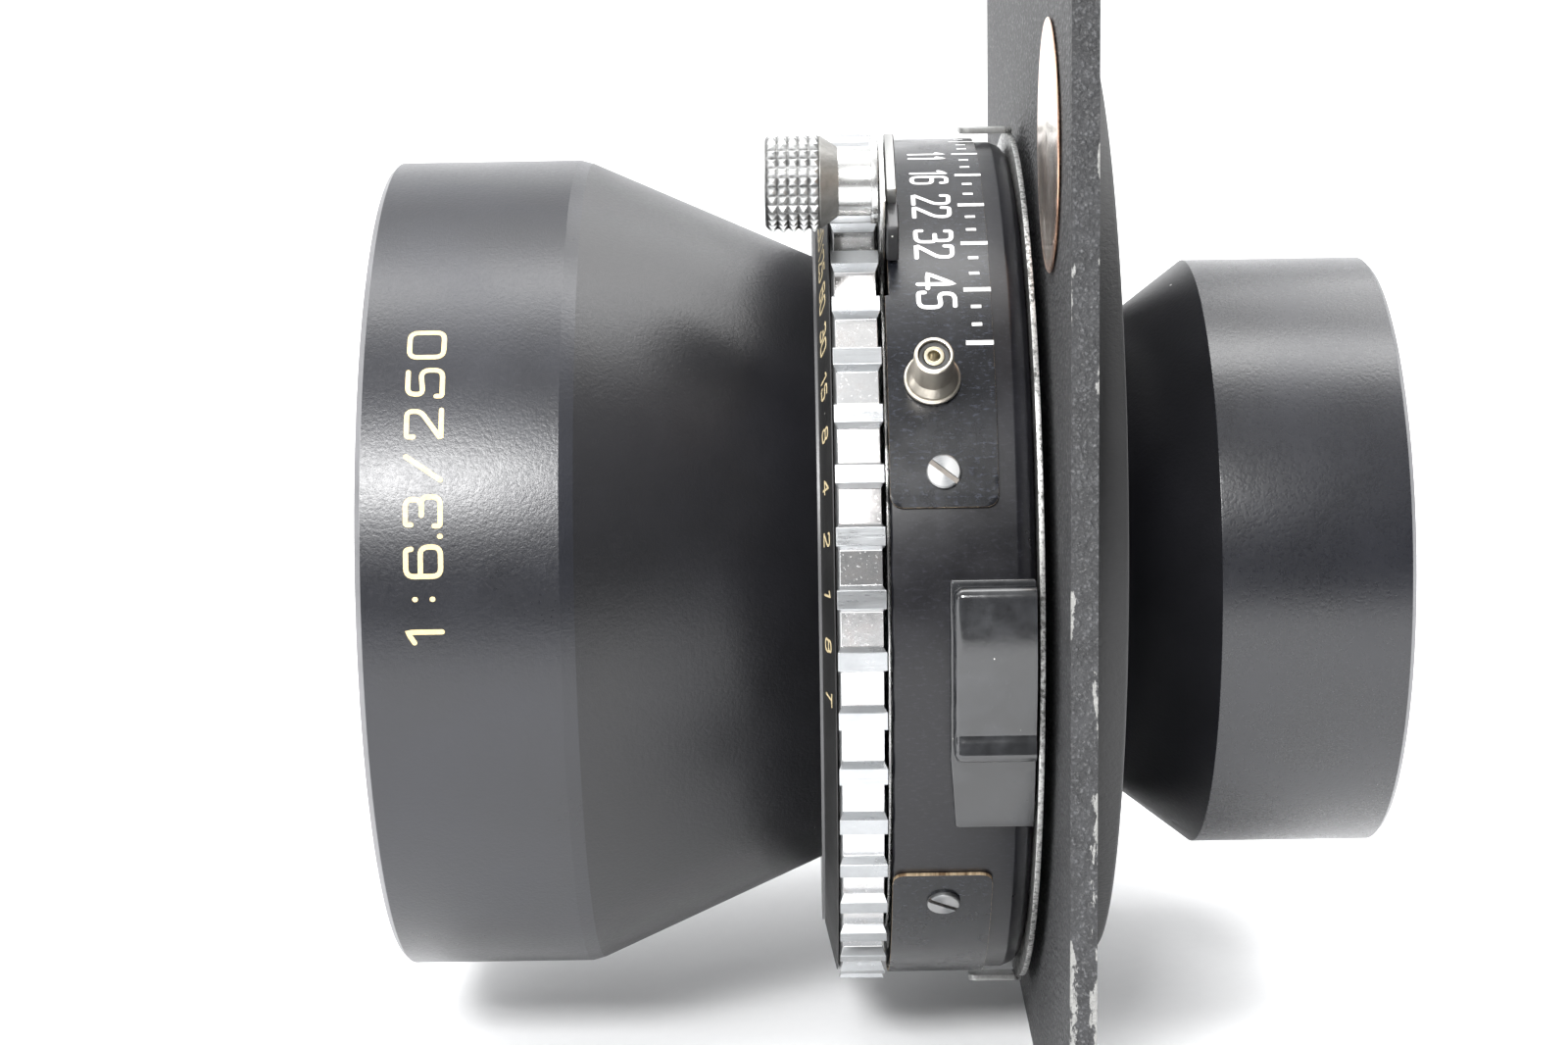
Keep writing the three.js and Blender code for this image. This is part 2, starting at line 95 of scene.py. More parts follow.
def lofted(sections, wrap=True, capped=False):
    """A skin through closed sections of the same number of points."""
    bm = bmesh.new()
    rows = [[bm.verts.new(p) for p in s] for s in sections]
    for i in range(len(rows) if wrap else len(rows) - 1):
        a, b = rows[i], rows[(i + 1) % len(rows)]
        for j in range(len(a)):
            k = (j + 1) % len(a)
            bm.faces.new((a[j], b[j], b[k], a[k]))
    if capped:
        bm.faces.new(rows[0])
        bm.faces.new(rows[-1])
    return cleaned(bm)


def turned(profile, radius=0.12, steps=STEPS):
    """A body turned about the X axis from a closed profile of [x, r] points."""
    p = rounded(profile, radius)
    return lofted([[around(x, r, 360 * i / steps) for x, r in p] for i in range(steps)])


def spun(profile, radius=0.05, steps=48):
    """A body turned about its own Z axis from a closed profile of [height, r] points."""
    p = rounded(profile, radius)
    return lofted([[Vector((r * c, r * s, h)) for h, r in p] for c, s in circle(1, steps)])


def washer(x0, x1, r0, r1):
    """The profile of a plain ring."""
    return [[x0, r0], [x0, r1], [x1, r1], [x1, r0]]


def filled(outlines, step=1.0, axis=0):
    """A flat filled shape in X-Y, cut into strips so that it can be bent along one axis."""
    bm = bmesh.new()
    for outline in outlines:
        vs = [bm.verts.new((p[0], p[1], 0)) for p in outline]
        for i in range(len(vs)):
            bm.edges.new((vs[i - 1], vs[i]))
    bmesh.ops.triangle_fill(bm, use_beauty=True, edges=bm.edges[:])
    return in_strips(bm, step, axis)


def in_strips(bm, step, axis):
    lo, hi = min(v.co[axis] for v in bm.verts), max(v.co[axis] for v in bm.verts)
    normal = Vector((1, 0, 0)) if axis == 0 else Vector((0, 1, 0))
    for k in range(ceil(lo / step), floor(hi / step) + 1):
        everything = bm.verts[:] + bm.edges[:] + bm.faces[:]
        bmesh.ops.bisect_plane(bm, geom=everything, dist=1e-5, plane_co=normal * k * step, plane_no=normal)
    return bm


def thickened(bm, height, side_material=0):
    made = bmesh.ops.extrude_face_region(bm, geom=bm.faces[:])
    for v in made["geom"]:
        if isinstance(v, bmesh.types.BMVert):
            v.co.z += height
    bmesh.ops.recalc_face_normals(bm, faces=bm.faces)
    for f in bm.faces:
        if abs(f.normal.z) < 0.5:
            f.material_index = side_material
    return bm


def softened(bm, width, segments=2, angle=35, material=-1):
    edges = [e for e in bm.edges if len(e.link_faces) == 2 and e.calc_face_angle(0) > radians(angle)]
    bmesh.ops.bevel(bm, geom=edges, offset=width, segments=segments, profile=0.6, affect="EDGES",
                    clamp_overlap=True, material=material)
    return bm


def paint(bm, pick):
    """Gives each face the material that pick(centre, distance from the X axis) names; None leaves it."""
    for f in bm.faces:
        c = f.calc_center_median()
        index = pick(c, hypot(c.y, c.z))
        if index is not None:
            f.material_index = index
    return bm


def outward(bm):
    """Turns every closed shell that is inside out."""
    left = set(bm.faces)
    while left:
        queue, shell = [left.pop()], []
        while queue:
            face = queue.pop()
            shell.append(face)
            near = {f for e in face.edges for f in e.link_faces} & left
            left -= near
            queue += near
        corner = shell[0].verts[0].co
        volume = 0.0
        for face in shell:
            first, *rest = [v.co - corner for v in face.verts]
            volume += sum(first.dot(a.cross(b)) for a, b in zip(rest, rest[1:]))
        if volume < 0:
            bmesh.ops.reverse_faces(bm, faces=shell)


def bent(bm, place):
    for v in bm.verts:
        v.co = Vector(place(*v.co))
    bmesh.ops.recalc_face_normals(bm, faces=bm.faces)
    return bm


def as_mesh(bm, name):
    mesh = bpy.data.meshes.new(name)
    bm.to_mesh(mesh)
    bm.free()
    return mesh


def linked(name, data):
    made = bpy.data.objects.new(name, data)
    bpy.context.scene.collection.objects.link(made)
    return made


def joined(*parts):
    bm = bmesh.new()
    for part in parts:
        mesh = as_mesh(part, "part")
        bm.from_mesh(mesh)
        bpy.data.meshes.remove(mesh)
    return bm


def cut(bm, *cutters):
    """bm less every cutter."""
    body, *tools = [linked("cut", as_mesh(part, "cut")) for part in (bm, *cutters)]
    for tool in tools:
        m = body.modifiers.new("cut", "BOOLEAN")
        m.operation, m.solver, m.object = "DIFFERENCE", "EXACT", tool
    bpy.context.view_layer.update()
    result = bpy.data.meshes.new_from_object(body.evaluated_get(bpy.context.evaluated_depsgraph_get()))
    out = bmesh.new()
    out.from_mesh(result)
    for o in [body, *tools]:
        bpy.data.objects.remove(o)
    return out


def sector(x0, x1, r0, r1, start, end, step=1.0):
    """Part of a tube about the X axis."""
    count = max(2, ceil(abs(end - start) / step))
    corners = [(x0, r0), (x1, r0), (x1, r1), (x0, r1)]
    return lofted([[around(x, r, p) for x, r in corners] for p in spread(start, end, count)],
                  wrap=False, capped=True)


def radial_place(x, phi, spin=0.0):
    """Local Z points straight out from the axis at (x, phi), and local X along the optical axis."""
    out = around(0, 1, phi)
    along = Vector((1, 0, 0))
    m = Matrix((along, out.cross(along), out)).transposed().to_4x4()
    return Matrix.Translation((x * MM, 0, 0)) @ m @ Matrix.Rotation(radians(spin), 4, "Z")


def axial_place(x, r, phi):
    """Local Z points along -X, from the centre line of a piece that is parallel to the optical axis."""
    m = Matrix((Vector((0, 1, 0)), Vector((0, 0, -1)), Vector((-1, 0, 0)))).transposed().to_4x4()
    return Matrix.Translation(around(x, r, phi) * MM) @ m


# ---- pieces
def put(name, bm, materials, node=None, body=BODY, place=None, sharp=35, even=False):
    """Makes an object from bm, puts it on its CAD body, and hides the CAD node it stands for."""
    outward(bm)
    bmesh.ops.scale(bm, vec=(MM, MM, MM), verts=bm.verts)
    mesh = as_mesh(bm, name)
    for m in materials if isinstance(materials, list) else [materials]:
        mesh.materials.append(m)
    mesh.shade_smooth()
    mesh.set_sharp_from_angle(angle=radians(sharp))
    made = linked(name, mesh)
    if even:
        made.modifiers.new("even_shading", "WEIGHTED_NORMAL").keep_sharp = True
    if place is not None:
        made.matrix_world = place
    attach(made, body)
    if node:
        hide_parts(node)


# Plain engraved figures: strokes on a grid 0.6 wide and 1 high. A closed stroke starts with None.
FIGURES = {
    "0": [[None, (0, 0), (0.6, 0), (0.6, 1), (0, 1)]],
    "1": [[(0.12, 0.8), (0.34, 1), (0.34, 0)]],
    "2": [[(0.02, 0.8), (0.02, 1), (0.58, 1), (0.58, 0.6), (0, 0.03), (0, 0), (0.6, 0)]],
    "3": [[(0.03, 0.84), (0.03, 1), (0.55, 1), (0.55, 0.54), (0.22, 0.54)],
          [(0.3, 0.54), (0.6, 0.54), (0.6, 0), (0, 0), (0, 0.17)]],
    "4": [[(0.45, 0), (0.45, 1), (0, 0.27), (0.63, 0.27)]],
    "5": [[(0.56, 1), (0.06, 1), (0.04, 0.55), (0.6, 0.64), (0.6, 0), (0, 0), (0, 0.17)]],
    "6": [[(0.56, 0.84), (0.54, 1), (0, 1), (0, 0), (0.6, 0), (0.6, 0.58), (0.02, 0.58)]],
    "8": [[None, (0.04, 1), (0.56, 1), (0.56, 0.54), (0.04, 0.54)],
          [None, (0, 0.54), (0.6, 0.54), (0.6, 0), (0, 0)]],
    "B": [[(0, 0.54), (0.5, 0.54), (0.5, 1), (0, 1), (0, 0), (0.58, 0), (0.58, 0.54), (0.3, 0.54)]],
    "T": [[(0, 1), (0.6, 1)], [(0.3, 1), (0.3, 0)]],
    ":": [[(0.1, 0.24), (0.1, 0.26)], [(0.1, 0.74), (0.1, 0.76)]],
    ".": [[(-0.1, 0.0), (-0.1, 0.02)]],
    "/": [[(0, 0), (0.5, 1)]],
}
ADVANCE = {":": 0.2, ".": -0.2, "/": 0.5, "1": 0.44}


def ribbon(path, weight, closed):
    """A flat line of even width along a path, with round ends."""
    line = []
    for i in range(len(path) if closed else len(path) - 1):
        a, b = path[i], path[(i + 1) % len(path)]
        parts = max(1, ceil((b - a).length / 0.35))
        line += [a.lerp(b, k / parts) for k in range(parts)]
    if not closed:
        line.append(path[-1])
    bm = bmesh.new()
    rows = []
    for i, p in enumerate(line):
        before = line[i - 1] if closed or i else p
        after = line[(i + 1) % len(line)] if closed or i < len(line) - 1 else p
        t = (after - before).normalized()
        n = Vector((-t.y, t.x)) * weight / 2
        rows.append((bm.verts.new((*(p + n), 0)), bm.verts.new((*(p - n), 0)), p, t))
    for i in range(len(rows) if closed else len(rows) - 1):
        a, b = rows[i], rows[(i + 1) % len(rows)]
        bm.faces.new((a[0], a[1], b[1], b[0]))
    if not closed:
        for (left, right, p, t), way in ((rows[0], -1), (rows[-1], 1)):
            start = atan2(t.y, t.x) + pi / 2
            arc = [bm.verts.new((p.x + weight / 2 * cos(start - way * pi * k / 6),
                                 p.y + weight / 2 * sin(start - way * pi * k / 6), 0)) for k in range(1, 6)]
            bm.faces.new([left, *arc, right])
    return bm


def figures(text, height, weight, width=1.0, gap=0.24, corner=0.24):
    """Thin raised figures, centred on X and standing on Y = 0."""
    tall = height - weight
    total = sum(ADVANCE.get(c, 0.6) for c in text) * width + gap * (len(text) - 1)
    start = -total / 2
    parts = []
    for c in text:
        for stroke in FIGURES[c]:
            closed = stroke[0] is None
            points = [Vector(((start + u * width) * tall, v * tall + weight / 2)) for u, v in stroke[closed:]]
            radius = corner * tall * min(1.0, width * 1.2)
            bends = [0 if c in "14T" else radius] * len(points)
            if c == "2":
                bends = [0, radius, radius, radius * 1.6, 0, 0, 0]
            elif not closed:
                bends[0] = bends[-1] = 0
            path = rounded([[p.x, p.y, r] for p, r in zip(points, bends)], 0, segments=5)
            parts.append(ribbon(path, weight, closed))
        start += ADVANCE.get(c, 0.6) * width + gap
    bm = joined(*parts)
    bmesh.ops.recalc_face_normals(bm, faces=bm.faces)
    return bm


# ---- materials
class Tree:
    """A short way to write a node tree."""

    def __init__(self, tree):
        self.tree = tree

    def add(self, kind, inputs=(), **settings):
        node = self.tree.nodes.new(kind)
        for key, value in settings.items():
            setattr(node, key, value)
        for key, value in dict(inputs).items():
            self.link(value, node.inputs[key])
        return node

    def link(self, value, socket):
        if isinstance(value, bpy.types.NodeSocket):
            self.tree.links.new(value, socket)
        else:
            socket.default_value = value

    def math(self, operation, a, b=0.0, clamp=False):
        return self.add("ShaderNodeMath", {0: a, 1: b}, operation=operation, use_clamp=clamp).outputs[0]

    def plus(self, a, b, clamp=False):
        return self.math("ADD", a, b, clamp)

    def minus(self, a, b):
        return self.math("SUBTRACT", a, b)

    def times(self, a, b):
        return self.math("MULTIPLY", a, b)

    def ramp(self, value, low, high, a=0.0, b=1.0):
        inputs = {"Value": value, "From Min": low, "From Max": high, "To Min": a, "To Max": b}
        return self.add("ShaderNodeMapRange", inputs, clamp=True).outputs[0]

    def split(self, vector):
        return self.add("ShaderNodeSeparateXYZ", {0: vector}).outputs

    def mix(self, share, a, b):
        return self.add("ShaderNodeMix", {0: share, 6: a, 7: b}, data_type="RGBA").outputs[2]


class Nodes(Tree):
    """A material. Its patterns lie in the object's own space, and are given per millimetre."""

    def __init__(self, name, **values):
        self.material = bpy.data.materials.new(name)
        self.material.use_nodes = True
        super().__init__(self.material.node_tree)
        self.shader = self.tree.nodes["Principled BSDF"]
        for key, value in values.items():
            self.shader.inputs[key.replace("_", " ")].default_value = value
        self.place = self.add("ShaderNodeTexCoord").outputs["Object"]

    def stretched(self, x, y=None, z=None):
        """The object's own place in millimetres, times a factor along each axis."""
        scale = (x / MM, (x if y is None else y) / MM, (x if z is None else z) / MM)
        return self.add("ShaderNodeVectorMath", {0: self.place, 1: scale}, operation="MULTIPLY").outputs[0]

    def rolled(self, along, round_, radius=30.0):
        """Millimetres along the X axis and round it, each times a factor."""
        s = self.split(self.place)
        angle = self.math("ARCTAN2", s[2], self.times(s[1], -1.0))
        x = self.times(s[0], along / MM)
        return self.add("ShaderNodeCombineXYZ", {0: x, 1: self.times(angle, radius * round_)}).outputs[0]

    def noise(self, where, detail=2.0, rough=0.5):
        """Noise at a place, or at so many cells in a millimetre."""
        if isinstance(where, float):
            where = self.stretched(where)
        return self.add("ShaderNodeTexNoise", {"Vector": where, "Scale": 1.0, "Detail": detail,
                                               "Roughness": rough}).outputs["Fac"]

    def cells(self, where):
        return self.add("ShaderNodeTexVoronoi", {"Vector": where, "Scale": 1.0}).outputs

    def from_z(self, s):
        """The distance from the piece's own Z axis, from the three parts of a place."""
        squares = [self.math("POWER", part, 2.0) for part in s[:2]]
        return self.math("POWER", self.plus(*squares), 0.5)

    def dust(self, spacing, size, share):
        """1 on a few small grains of dust, 0 elsewhere."""
        cells = self.cells(self.stretched(1 / spacing))
        pick = self.add("ShaderNodeSeparateColor", {0: cells["Color"]}).outputs[0]
        return self.times(self.math("LESS_THAN", pick, share),
                          self.math("LESS_THAN", cells["Distance"], size / spacing))

    def bump(self, height, distance, after=None):
        """A bump of so many millimetres, on top of the bump given as after."""
        inputs = {"Height": height, "Distance": distance * MM}
        if after is not None:
            inputs["Normal"] = after
        return self.add("ShaderNodeBump", inputs).outputs["Normal"]

    def finished(self, colour, roughness, normal):
        for value, socket in ((colour, "Base Color"), (roughness, "Roughness"), (normal, "Normal")):
            self.link(value, self.shader.inputs[socket])
        return self.material


def rgb(r, g, b):
    return (r, g, b, 1.0)


def grey(level):
    return rgb(level, level, level)


def shade(tone, factor):
    return rgb(*[c * factor for c in tone])


DUST = rgb(0.7, 0.69, 0.66)


def anodised(name, tone, rough, grain=0.5, dust=0.02, shine=0.8):
    """Black anodised metal with fine turning marks round the axis, faint smears and a few grains of dust."""
    n = Nodes(name, Metallic=0.0, Specular_IOR_Level=shine)
    marks = n.noise(n.rolled(5.0, 0.25), rough=0.6)
    speckle = n.noise(3.3, rough=0.7)
    smear = n.noise(0.09, 4.0, 0.6)
    base = n.mix(n.ramp(smear, 0.35, 0.7), shade(tone, 0.8), shade(tone, 1.35))
    level = n.plus(n.ramp(smear, 0.3, 0.75, -0.03, 0.04), n.ramp(speckle, 0.3, 0.7, -0.03, 0.03))
    return n.finished(n.mix(n.dust(2.6, 0.11, dust), base, DUST), n.plus(level, rough),
                      n.bump(speckle, 0.02 * grain, n.bump(marks, 0.001 * grain)))


def enamel(name, tone, rough, scratches=0.4, dust=0.03, shine=0.5):
    """Black enamel or anodised sheet with rubbed, lightly scratched gloss."""
    n = Nodes(name, Metallic=0.0, Specular_IOR_Level=shine)
    smear = n.noise(0.2, 5.0, 0.65)
    fine = n.noise(n.rolled(1.6, 3.6, 36.0), 3.0, 0.75)
    base = n.mix(n.ramp(smear, 0.35, 0.7), shade(tone, 0.8), shade(tone, 1.5))
    base = n.mix(n.times(n.ramp(fine, 0.54, 0.7), scratches), base, shade(tone, 8))
    return n.finished(n.mix(n.dust(1.3, 0.05, dust), base, DUST),
                      n.ramp(smear, 0.3, 0.75, rough - 0.06, rough + 0.08),
                      n.bump(fine, 0.003, n.bump(n.noise(9.0), 0.003)))


def crinkle(name, worn):
    """Crinkle paint: close pebbles of paint with painted highlights on their tops and a scatter of painted
    sparkles, and bare metal where its edges are worn.
    """
    n = Nodes(name, Metallic=0.0, Specular_IOR_Level=0.5)
    pebbles = n.cells(n.stretched(2.6, 1.1, 2.6))["Distance"]
    height = n.plus(n.times(pebbles, -0.8), n.noise(n.stretched(3.4, 1.3, 3.4), rough=0.65))
    tops = n.ramp(height, 0.2, 0.5)
    dark = n.mix(n.ramp(n.noise(0.5), 0.35, 0.7), rgb(0.011, 0.0113, 0.0125), rgb(0.022, 0.0225, 0.0245))
    # Painted highlight: the tops of the pebbles are painted lighter than the paint between them.
    coat = n.mix(n.times(tops, 0.6), dark, rgb(0.075, 0.077, 0.082))
    # Painted sparkle: small light grey specks stand in for glints off the paint.
    bright = n.ramp(n.noise(n.stretched(3.6, 1.6, 3.6), rough=0.7), 0.56, 0.8)
    coat = n.mix(n.times(bright, 0.2), coat, rgb(0.3, 0.3, 0.295))
    coat = n.mix(n.dust(2.4, 0.12, 0.05), coat, rgb(0.6, 0.59, 0.56))
    bare = worn(n)
    n.link(n.times(bare, 0.75), n.shader.inputs["Metallic"])
    return n.finished(n.mix(bare, coat, rgb(0.3, 0.3, 0.29)), n.ramp(tops, 0.0, 1.0, 0.62, 0.42),
                      n.bump(height, 0.2))


def worn_board(n):
    """How bare the board is: chips that reach unevenly from the two corners of its rim."""
    s = n.split(n.stretched(1))
    side = n.minus(BOARD_WIDTH / 2, n.math("ABSOLUTE", s[1]))
    middle = BOARD_BOTTOM + BOARD_HEIGHT / 2
    end = n.minus(BOARD_HEIGHT / 2, n.math("ABSOLUTE", n.minus(s[2], middle)))
    rim_x = n.minus(1.0, n.math("ABSOLUTE", n.plus(s[0], 1.0)))
    corner = n.math("MAXIMUM", n.math("MINIMUM", side, end), rim_x)
    patches = n.noise(n.stretched(0.6, 0.12, 0.12))
    ragged = n.noise(n.stretched(1.1, 1.1, 0.5), 4.0, 0.7)
    reach = n.plus(n.ramp(patches, 0.44, 0.6, -0.6, 0.28), n.ramp(ragged, 0.35, 0.65, -0.3, 0.34))
    return n.times(n.ramp(n.minus(reach, corner), -0.03, 0.1), 0.8)


def bare_metal(name, tone, rough, along=0.3, round_=9.0, mark=0.006, dull=0.85):
    """Bare or plated metal with fine cutting lines and faint stains."""
    n = Nodes(name, Metallic=1.0)
    lines = n.noise(n.rolled(along, round_, 36.0), 3.0, 0.7)
    stain = n.noise(0.35, 4.0, 0.65)
    base = n.mix(n.ramp(stain, 0.35, 0.72), shade(tone, 1), shade(tone, dull))
    level = n.plus(n.ramp(stain, 0.3, 0.75, -0.05, 0.07), n.ramp(lines, 0.3, 0.7, rough, rough + 0.08))
    return n.finished(n.mix(n.ramp(lines, 0.58, 0.75, 0.0, 0.35), base, shade(tone, 0.62)), level,
                      n.bump(lines, mark))


def plate_edge():
    """The bare, tarnished edge of an enamelled brass sheet."""
    n = Nodes("plate_edge", Metallic=0.55)
    wear = n.noise(n.rolled(2.0, 2.0, 36.0), 4.0, 0.7)
    return n.finished(n.mix(n.ramp(wear, 0.4, 0.62), rgb(0.16, 0.1, 0.055), rgb(0.55, 0.43, 0.28)),
                      n.ramp(wear, 0.3, 0.7, 0.35, 0.5), n.bump(wear, 0.01))


def worn_ring():
    """Chrome that is rubbed dull and speckled along its rim, but less on the tabs in front of it."""
    n = Nodes("worn_chrome", Metallic=1.0)
    fleck = n.noise(3.2, 4.0, 0.75)
    wide = n.noise(n.rolled(0.1, 0.12, 36.0))
    dull = n.plus(n.ramp(fleck, 0.42, 0.6), n.ramp(wide, 0.4, 0.65, -0.3, 0.35), clamp=True)
    on_tab = n.math("LESS_THAN", n.split(n.stretched(1))[0], -3.5)
    dull = n.times(dull, n.minus(1.0, n.times(0.8, on_tab)))
    return n.finished(n.mix(dull, rgb(0.45, 0.45, 0.44), rgb(0.07, 0.07, 0.068)),
                      n.ramp(fleck, 0.3, 0.7, 0.3, 0.55), n.bump(fleck, 0.02))


def groove_finish():
    """Milled flats of bright metal, each with a painted reflection of its own brightness, and small pits that
    are also painted lighter as glints.
    """
    n = Nodes("groove_cut", Metallic=1.0)
    s = n.split(n.place)
    angle = n.math("ARCTAN2", s[2], n.times(s[1], -1.0))
    pitch = radians(360 / RIDGES)
    index = n.math("FLOOR", n.math("DIVIDE", n.plus(angle, -radians(FIRST_RIDGE)), pitch))
    pick = n.add("ShaderNodeTexWhiteNoise", {"W": index}, noise_dimensions="1D").outputs["Value"]
    stain = n.noise(0.8, 4.0, 0.7)
    # Painted reflection: each flat gets its own tone from its index, standing in for the different light each
    # flat reflects.
    tone = n.mix(pick, rgb(0.68, 0.685, 0.69), rgb(0.5, 0.49, 0.485))
    tone = n.mix(n.ramp(stain, 0.5, 0.75, 0.0, 0.5), tone, rgb(0.4, 0.35, 0.33))
    # The pits are real bumps and rougher spots, and are also painted lighter as glints.
    pits = n.ramp(n.noise(5.0), 0.62, 0.72)
    return n.finished(n.mix(n.times(pits, 0.35), tone, grey(0.8)),
                      n.plus(n.ramp(stain, 0.3, 0.7, 0.14, 0.22), n.times(pits, 0.15)),
                      n.bump(n.plus(n.times(pits, 0.3), stain), 0.003))


def plastic(name, tone, rough):
    n = Nodes(name, Metallic=0.0, Specular_IOR_Level=0.55, Coat_Weight=0.35, Coat_Roughness=0.12)
    haze = n.noise(0.5, 5.0, 0.65)
    base = n.mix(n.ramp(haze, 0.4, 0.7), shade(tone, 1), shade(tone, 2.2))
    base = n.mix(n.ramp(n.noise(5.0, 3.0, 0.7), 0.66, 0.8, 0.0, 0.35), base, grey(0.12))
    return n.finished(n.mix(n.dust(1.0, 0.08, 0.1), base, rgb(0.6, 0.59, 0.55)),
                      n.ramp(haze, 0.3, 0.75, rough - 0.04, rough + 0.12), n.bump(n.noise(1.4, 4.0), 0.006))


def marking(name, tone):
    """Paint laid into engraved figures, thin and slightly uneven."""
    n = Nodes(name, Metallic=0.0)
    uneven = n.noise(2.2, 4.0, 0.7)
    return n.finished(n.mix(n.ramp(uneven, 0.4, 0.72), shade(tone, 1), shade(tone, 0.78)),
                      n.ramp(uneven, 0.3, 0.7, 0.4, 0.6), n.bump(uneven, 0.01))


def coated_glass(name, tint):
    n = Nodes(name, Metallic=0.0, Transmission_Weight=1.0, IOR=1.52, Coat_Weight=0.2, Coat_Roughness=0.02,
              Coat_Tint=rgb(0.96, 0.94, 1.0), Specular_Tint=rgb(0.5, 0.4, 0.95))
    smear = n.noise(0.12, 5.0, 0.6)
    n.link(n.mix(n.ramp(smear, 0.4, 0.7), shade(tint, 1), shade(tint, 0.97)), n.shader.inputs["Base Color"])
    n.link(n.ramp(smear, 0.35, 0.8, 0.0, 0.03), n.shader.inputs["Roughness"])
    return n.material


def screw_finish():
    """Nickel cut on a lathe, with fine rings, and an hour-glass sheen painted into its colour."""
    n = Nodes("screw_nickel", Metallic=1.0)
    s = n.split(n.stretched(1))
    sheen = n.math("ABSOLUTE", n.math("SINE", n.plus(n.math("ARCTAN2", s[1], s[0]), 0.5)))
    rings = n.noise(n.add("ShaderNodeCombineXYZ", {0: n.times(n.from_z(s), 12.0)}).outputs[0])
    # Painted sheen: the tone goes light and dark in an hour-glass round the head, by angle.
    tone = n.mix(n.ramp(sheen, 0.15, 0.85), rgb(0.17, 0.175, 0.18), grey(0.3))
    return n.finished(n.mix(n.ramp(rings, 0.45, 0.7, 0.0, 0.4), tone, grey(0.3)),
                      n.ramp(sheen, 0.0, 1.0, 0.55, 0.44), n.bump(rings, 0.006))


def knurl_finish():
    """Nickel with painted shade: dark down in the valleys between its pyramids, light on their peaks, with
    uneven dirt. Local Z is the knob's own axis.
    """
    n = Nodes("knurled_nickel", Metallic=1.0)
    radius = n.from_z(n.split(n.stretched(1)))
    dirt = n.noise(2.5, 3.0)
    depth = n.plus(n.ramp(radius, KNURL_VALLEY, 3.88), n.ramp(dirt, 0.3, 0.7, -0.15, 0.15), clamp=True)
    # Painted shade: dark at the bottom of the valleys, light on the peaks, shifted a little by the dirt
    # noise.
    tone = n.mix(depth, rgb(0.14, 0.14, 0.137), rgb(0.74, 0.75, 0.75))
    return n.finished(n.mix(n.math("GREATER_THAN", radius, 3.5), grey(0.5), tone),
                      n.ramp(dirt, 0.3, 0.7, 0.3, 0.42), n.bump(dirt, 0.006))


def badge_finish():
    """Polished metal with a painted reflection that turns it dark brown towards its lower side, and warmer
    towards its rim.
    """
    n = Nodes("badge_metal", Metallic=1.0)
    s = n.split(n.stretched(1))
    haze = n.noise(0.4, 5.0, 0.6)
    tone = n.mix(n.ramp(haze, 0.35, 0.7), rgb(0.86, 0.83, 0.78), rgb(0.72, 0.66, 0.56))
    # Painted reflection: dark brown over the lower part of the disc, fading into the polished tone higher up.
    tone = n.mix(n.ramp(n.plus(s[0], n.times(haze, 6.0)), 1.0, 6.0), rgb(0.3, 0.2, 0.13), tone)
    return n.finished(n.mix(n.ramp(n.from_z(s), 8.6, 9.3, 0.0, 0.9), tone, rgb(0.86, 0.52, 0.36)),
                      n.ramp(haze, 0.35, 0.75, 0.16, 0.3), n.bump(n.noise(1.0), 0.001))


def floor_finish():
    n = Nodes("floor_paper", Metallic=0.0)
    fibre = n.noise(0.8, 4.0)
    return n.finished(n.mix(fibre, rgb(0.86, 0.865, 0.875), rgb(0.9, 0.905, 0.91)),
                      n.ramp(fibre, 0.3, 0.7, 0.6, 0.75), n.bump(fibre, 0.01))


BLACK = anodised("front_anodised", (0.004, 0.0045, 0.0075), 0.32, grain=0.9, shine=0.57)
# Painted shade: a darker, less shiny copy of the black anodising, for the cones of both barrels.
SHADED_BLACK_CONE = anodised("shaded_cone_anodised", (0.003, 0.003, 0.0042), 0.36, grain=1.0, dust=0.1, shine=0.5)
BLACK_REAR = anodised("rear_anodised", (0.0032, 0.0036, 0.006), 0.28, grain=0.8, dust=0.06, shine=0.62)
BLACK_INSIDE = anodised("inside_anodised", (0.005, 0.005, 0.0055), 0.6, grain=1.2, shine=0.4)
RUBBED = anodised("rubbed_edge", (0.1, 0.1, 0.105), 0.4, shine=0.6)
COVER_EDGE = anodised("cover_edge", (0.05, 0.05, 0.052), 0.4, shine=0.7)
RIDGE_PAINT = anodised("ridge_paint", (0.006, 0.006, 0.0065), 0.5, grain=2.0, dust=0.07, shine=0.5)
CASE = enamel("case_enamel", (0.0045, 0.0045, 0.006), 0.32, scratches=0.3, shine=0.36)
PLATE = enamel("plate_enamel", (0.003, 0.0034, 0.0048), 0.26, scratches=1.0, dust=0.07, shine=0.36)
DIAL = enamel("dial_enamel", (0.004, 0.004, 0.004), 0.5, scratches=0.1)
PLATE_EDGE = plate_edge()
PAINTED_BOARD = crinkle("board_crinkle", worn_board)
RIDGE_TOP = bare_metal("ridge_cut", (0.38, 0.39, 0.4), 0.27, along=0.2, round_=7.0, mark=0.014)
FLOOR_CUT = groove_finish()
SATIN = bare_metal("satin_aluminium", (0.36, 0.365, 0.37), 0.4, along=6.0, round_=0.3)
NICKEL = bare_metal("nickel", (0.62, 0.62, 0.61), 0.22, along=5.0, round_=0.4, mark=0.008)
DIRTY_NICKEL = bare_metal("dirty_nickel", (0.34, 0.335, 0.32), 0.45, 3.4, 3.4, mark=0.03, dull=0.6)
SCREW = screw_finish()
